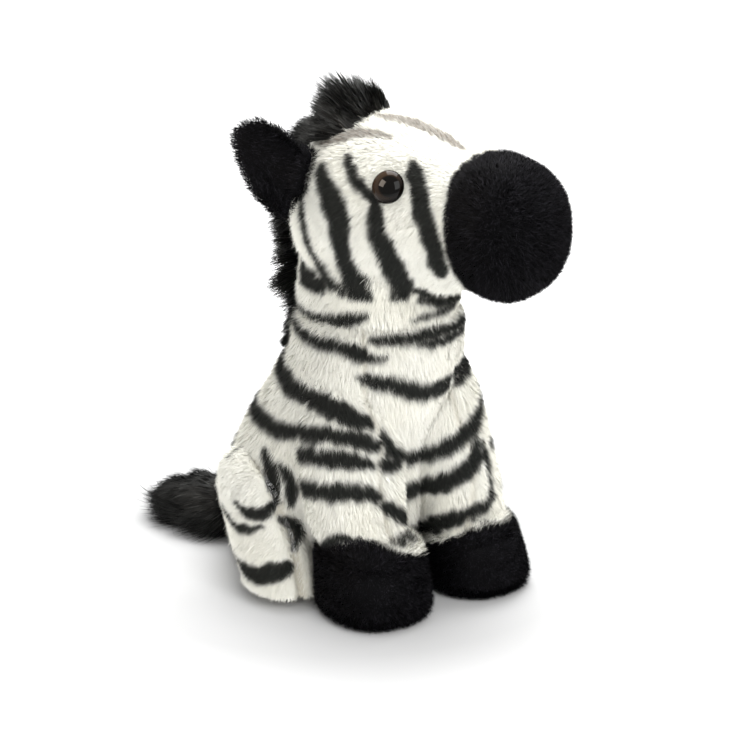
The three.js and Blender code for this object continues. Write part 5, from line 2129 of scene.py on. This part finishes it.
@dataclass
class Studio:
    """A pale floor, soft lamps and the camera, none of them part of the toy."""

    azimuth: float = -34.0
    elevation: float = 19.0
    distance: float = 1100.0
    target: Point = (0.0, -30.0, 100.0)
    focal: float = 2335.0
    pixels: float = 753.0
    ambient: float = 0.95
    floor_half: float = 4000.0

    def build(self) -> None:
        """Builds the floor, the world, the lamps and the camera."""
        self.build_camera()
        self.build_floor()
        self.build_world()
        self.lamp("key", (0.3, 0.3, 1.22), 0.95, 26.0)
        self.lamp("front", (-0.1, -1.2, 0.95), 1.0, 16.0)
        self.lamp("glint", (-1.015, 0.16, 0.85), 0.5, 14.0, (1.0, 0.86, 0.72), glint=True)

    def build_camera(self) -> None:
        """Sets the camera on the sphere round its target, looking at it, with the picture's angle of view."""
        a, e = math.radians(self.azimuth), math.radians(self.elevation)
        back = np.array([math.sin(a) * math.cos(e), -math.cos(a) * math.cos(e), math.sin(e)])
        right = np.array([math.cos(a), math.sin(a), 0.0])
        data = bpy.data.cameras.new("camera")
        data.sensor_width = 36.0
        data.lens = self.focal * 36.0 / self.pixels
        data.clip_start, data.clip_end = 0.05, 20.0
        place = (np.array(self.target) + back * self.distance) * MM
        bpy.context.scene.camera = placed(data, (right, np.cross(back, right), back), place)

    def build_floor(self) -> None:
        """Lays a large square floor, white to the camera far from the toy and darker near it, a painted shade that
        deepens the toy's soft shadow.
        """
        far = self.floor_half
        corners = np.array([[-far, -far, 0], [far, -far, 0], [far, far, 0], [-far, far, 0]], float)
        floor = put_mesh("floor", corners, np.array([[0, 1, 2], [0, 2, 3]]), smooth=False)
        made, tree, shader = new_material("studio_floor")
        tree.nodes.remove(shader)
        matt = add_node(tree, "BsdfDiffuse", {"Color": (0.8, 0.8, 0.8, 1)})
        place = add_node(tree, "TexCoord", {}).outputs["Object"]
        away = add_node(tree, "VectorMath", {0: place}, "LENGTH").outputs["Value"]
        # Painted shade round the toy: to the camera the floor's colour falls from 1 beyond 0.32 m to 0.48 within 0.12
        # m, darkening its shadow there
        span = {"From Min": 0.12, "From Max": 0.32, "To Min": 0.48, "To Max": 1.0}
        painted_floor_shade = add_node(tree, "MapRange", {"Value": away, **span}).outputs["Result"]
        bright = add_node(tree, "BsdfDiffuse", {"Color": painted_floor_shade}).outputs["BSDF"]
        mix = add_node(tree, "MixShader", {"Fac": seen_by_camera(tree), 1: matt.outputs["BSDF"], 2: bright})
        tree.links.new(mix.outputs["Shader"], tree.nodes["Material Output"].inputs["Surface"])
        floor.data.materials.append(made)

    def build_world(self) -> None:
        """White to the camera and in reflections, and an even soft light for everything else."""
        world = bpy.data.worlds.new("studio")
        bpy.context.scene.world = world
        world.use_nodes = True
        tree = world.node_tree
        light = tree.nodes["Background"]
        light.inputs["Color"].default_value = (1, 1, 1, 1)
        light.inputs["Strength"].default_value = self.ambient
        white = add_node(tree, "Background", {"Color": (1, 1, 1, 1), "Strength": 1.0}).outputs["Background"]
        mix = add_node(tree, "MixShader", {"Fac": seen_by_camera(tree), 1: light.outputs["Background"], 2: white})
        tree.links.new(mix.outputs["Shader"], tree.nodes["World Output"].inputs["Surface"])

    def lamp(
        self, name: str, place: Point, size: float, power: float, tint: Point = (1.0, 1.0, 1.0), glint: bool = False
    ) -> None:
        """Hangs a soft square lamp that shines at the toy.

        Args:
            name: Name of the lamp.
            place: Its place in metres.
            size: Edge of its square in metres.
            power: Power in watts.
            tint: Colour of its light.
            glint: Whether it only shows in glossy surfaces and lights nothing else.
        """
        data = bpy.data.lights.new(name, "AREA")
        data.color, data.size, data.energy = tint, size, power
        out = unit(np.array(place) - np.array([0.0, -0.03, 0.1]))
        lamp = placed(data, (*basis_from(out), out), np.array(place))
        lamp.visible_diffuse = not glint


def seen_by_camera(tree: bpy.types.NodeTree) -> bpy.types.NodeSocket:
    """One where a ray comes from the camera, a reflection or through glass, and zero elsewhere.

    Args:
        tree: The node tree.

    Returns:
        The number.
    """
    path = add_node(tree, "LightPath", {}).outputs
    shiny = add_node(tree, "Math", {0: path["Is Camera Ray"], 1: path["Is Glossy Ray"]}, "MAXIMUM").outputs["Value"]
    return add_node(tree, "Math", {0: shiny, 1: path["Is Transmission Ray"]}, "MAXIMUM").outputs["Value"]


def main() -> None:
    """Builds the zebra in order."""
    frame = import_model()
    bpy.context.scene.view_settings.view_transform = "Standard"
    Studio().build()
    torso, head = Torso(), Head()
    forelegs = [Foreleg(side, torso) for side in Side]
    hind_legs = [HindLeg(foreleg.side, torso, foreleg) for foreleg in forelegs]
    torso.build(forelegs, hind_legs)
    for foreleg, hind_leg in zip(forelegs, hind_legs):
        foreleg.build()
        hind_leg.build()
    head.build()
    for side in Side:
        Eye(side, head).build()
        Ear(side, head).build()
    Mane(head, torso).build()
    Tail(torso).build()
    Filling(frame["nodes"]).build()


if __name__ == "__main__":
    main()
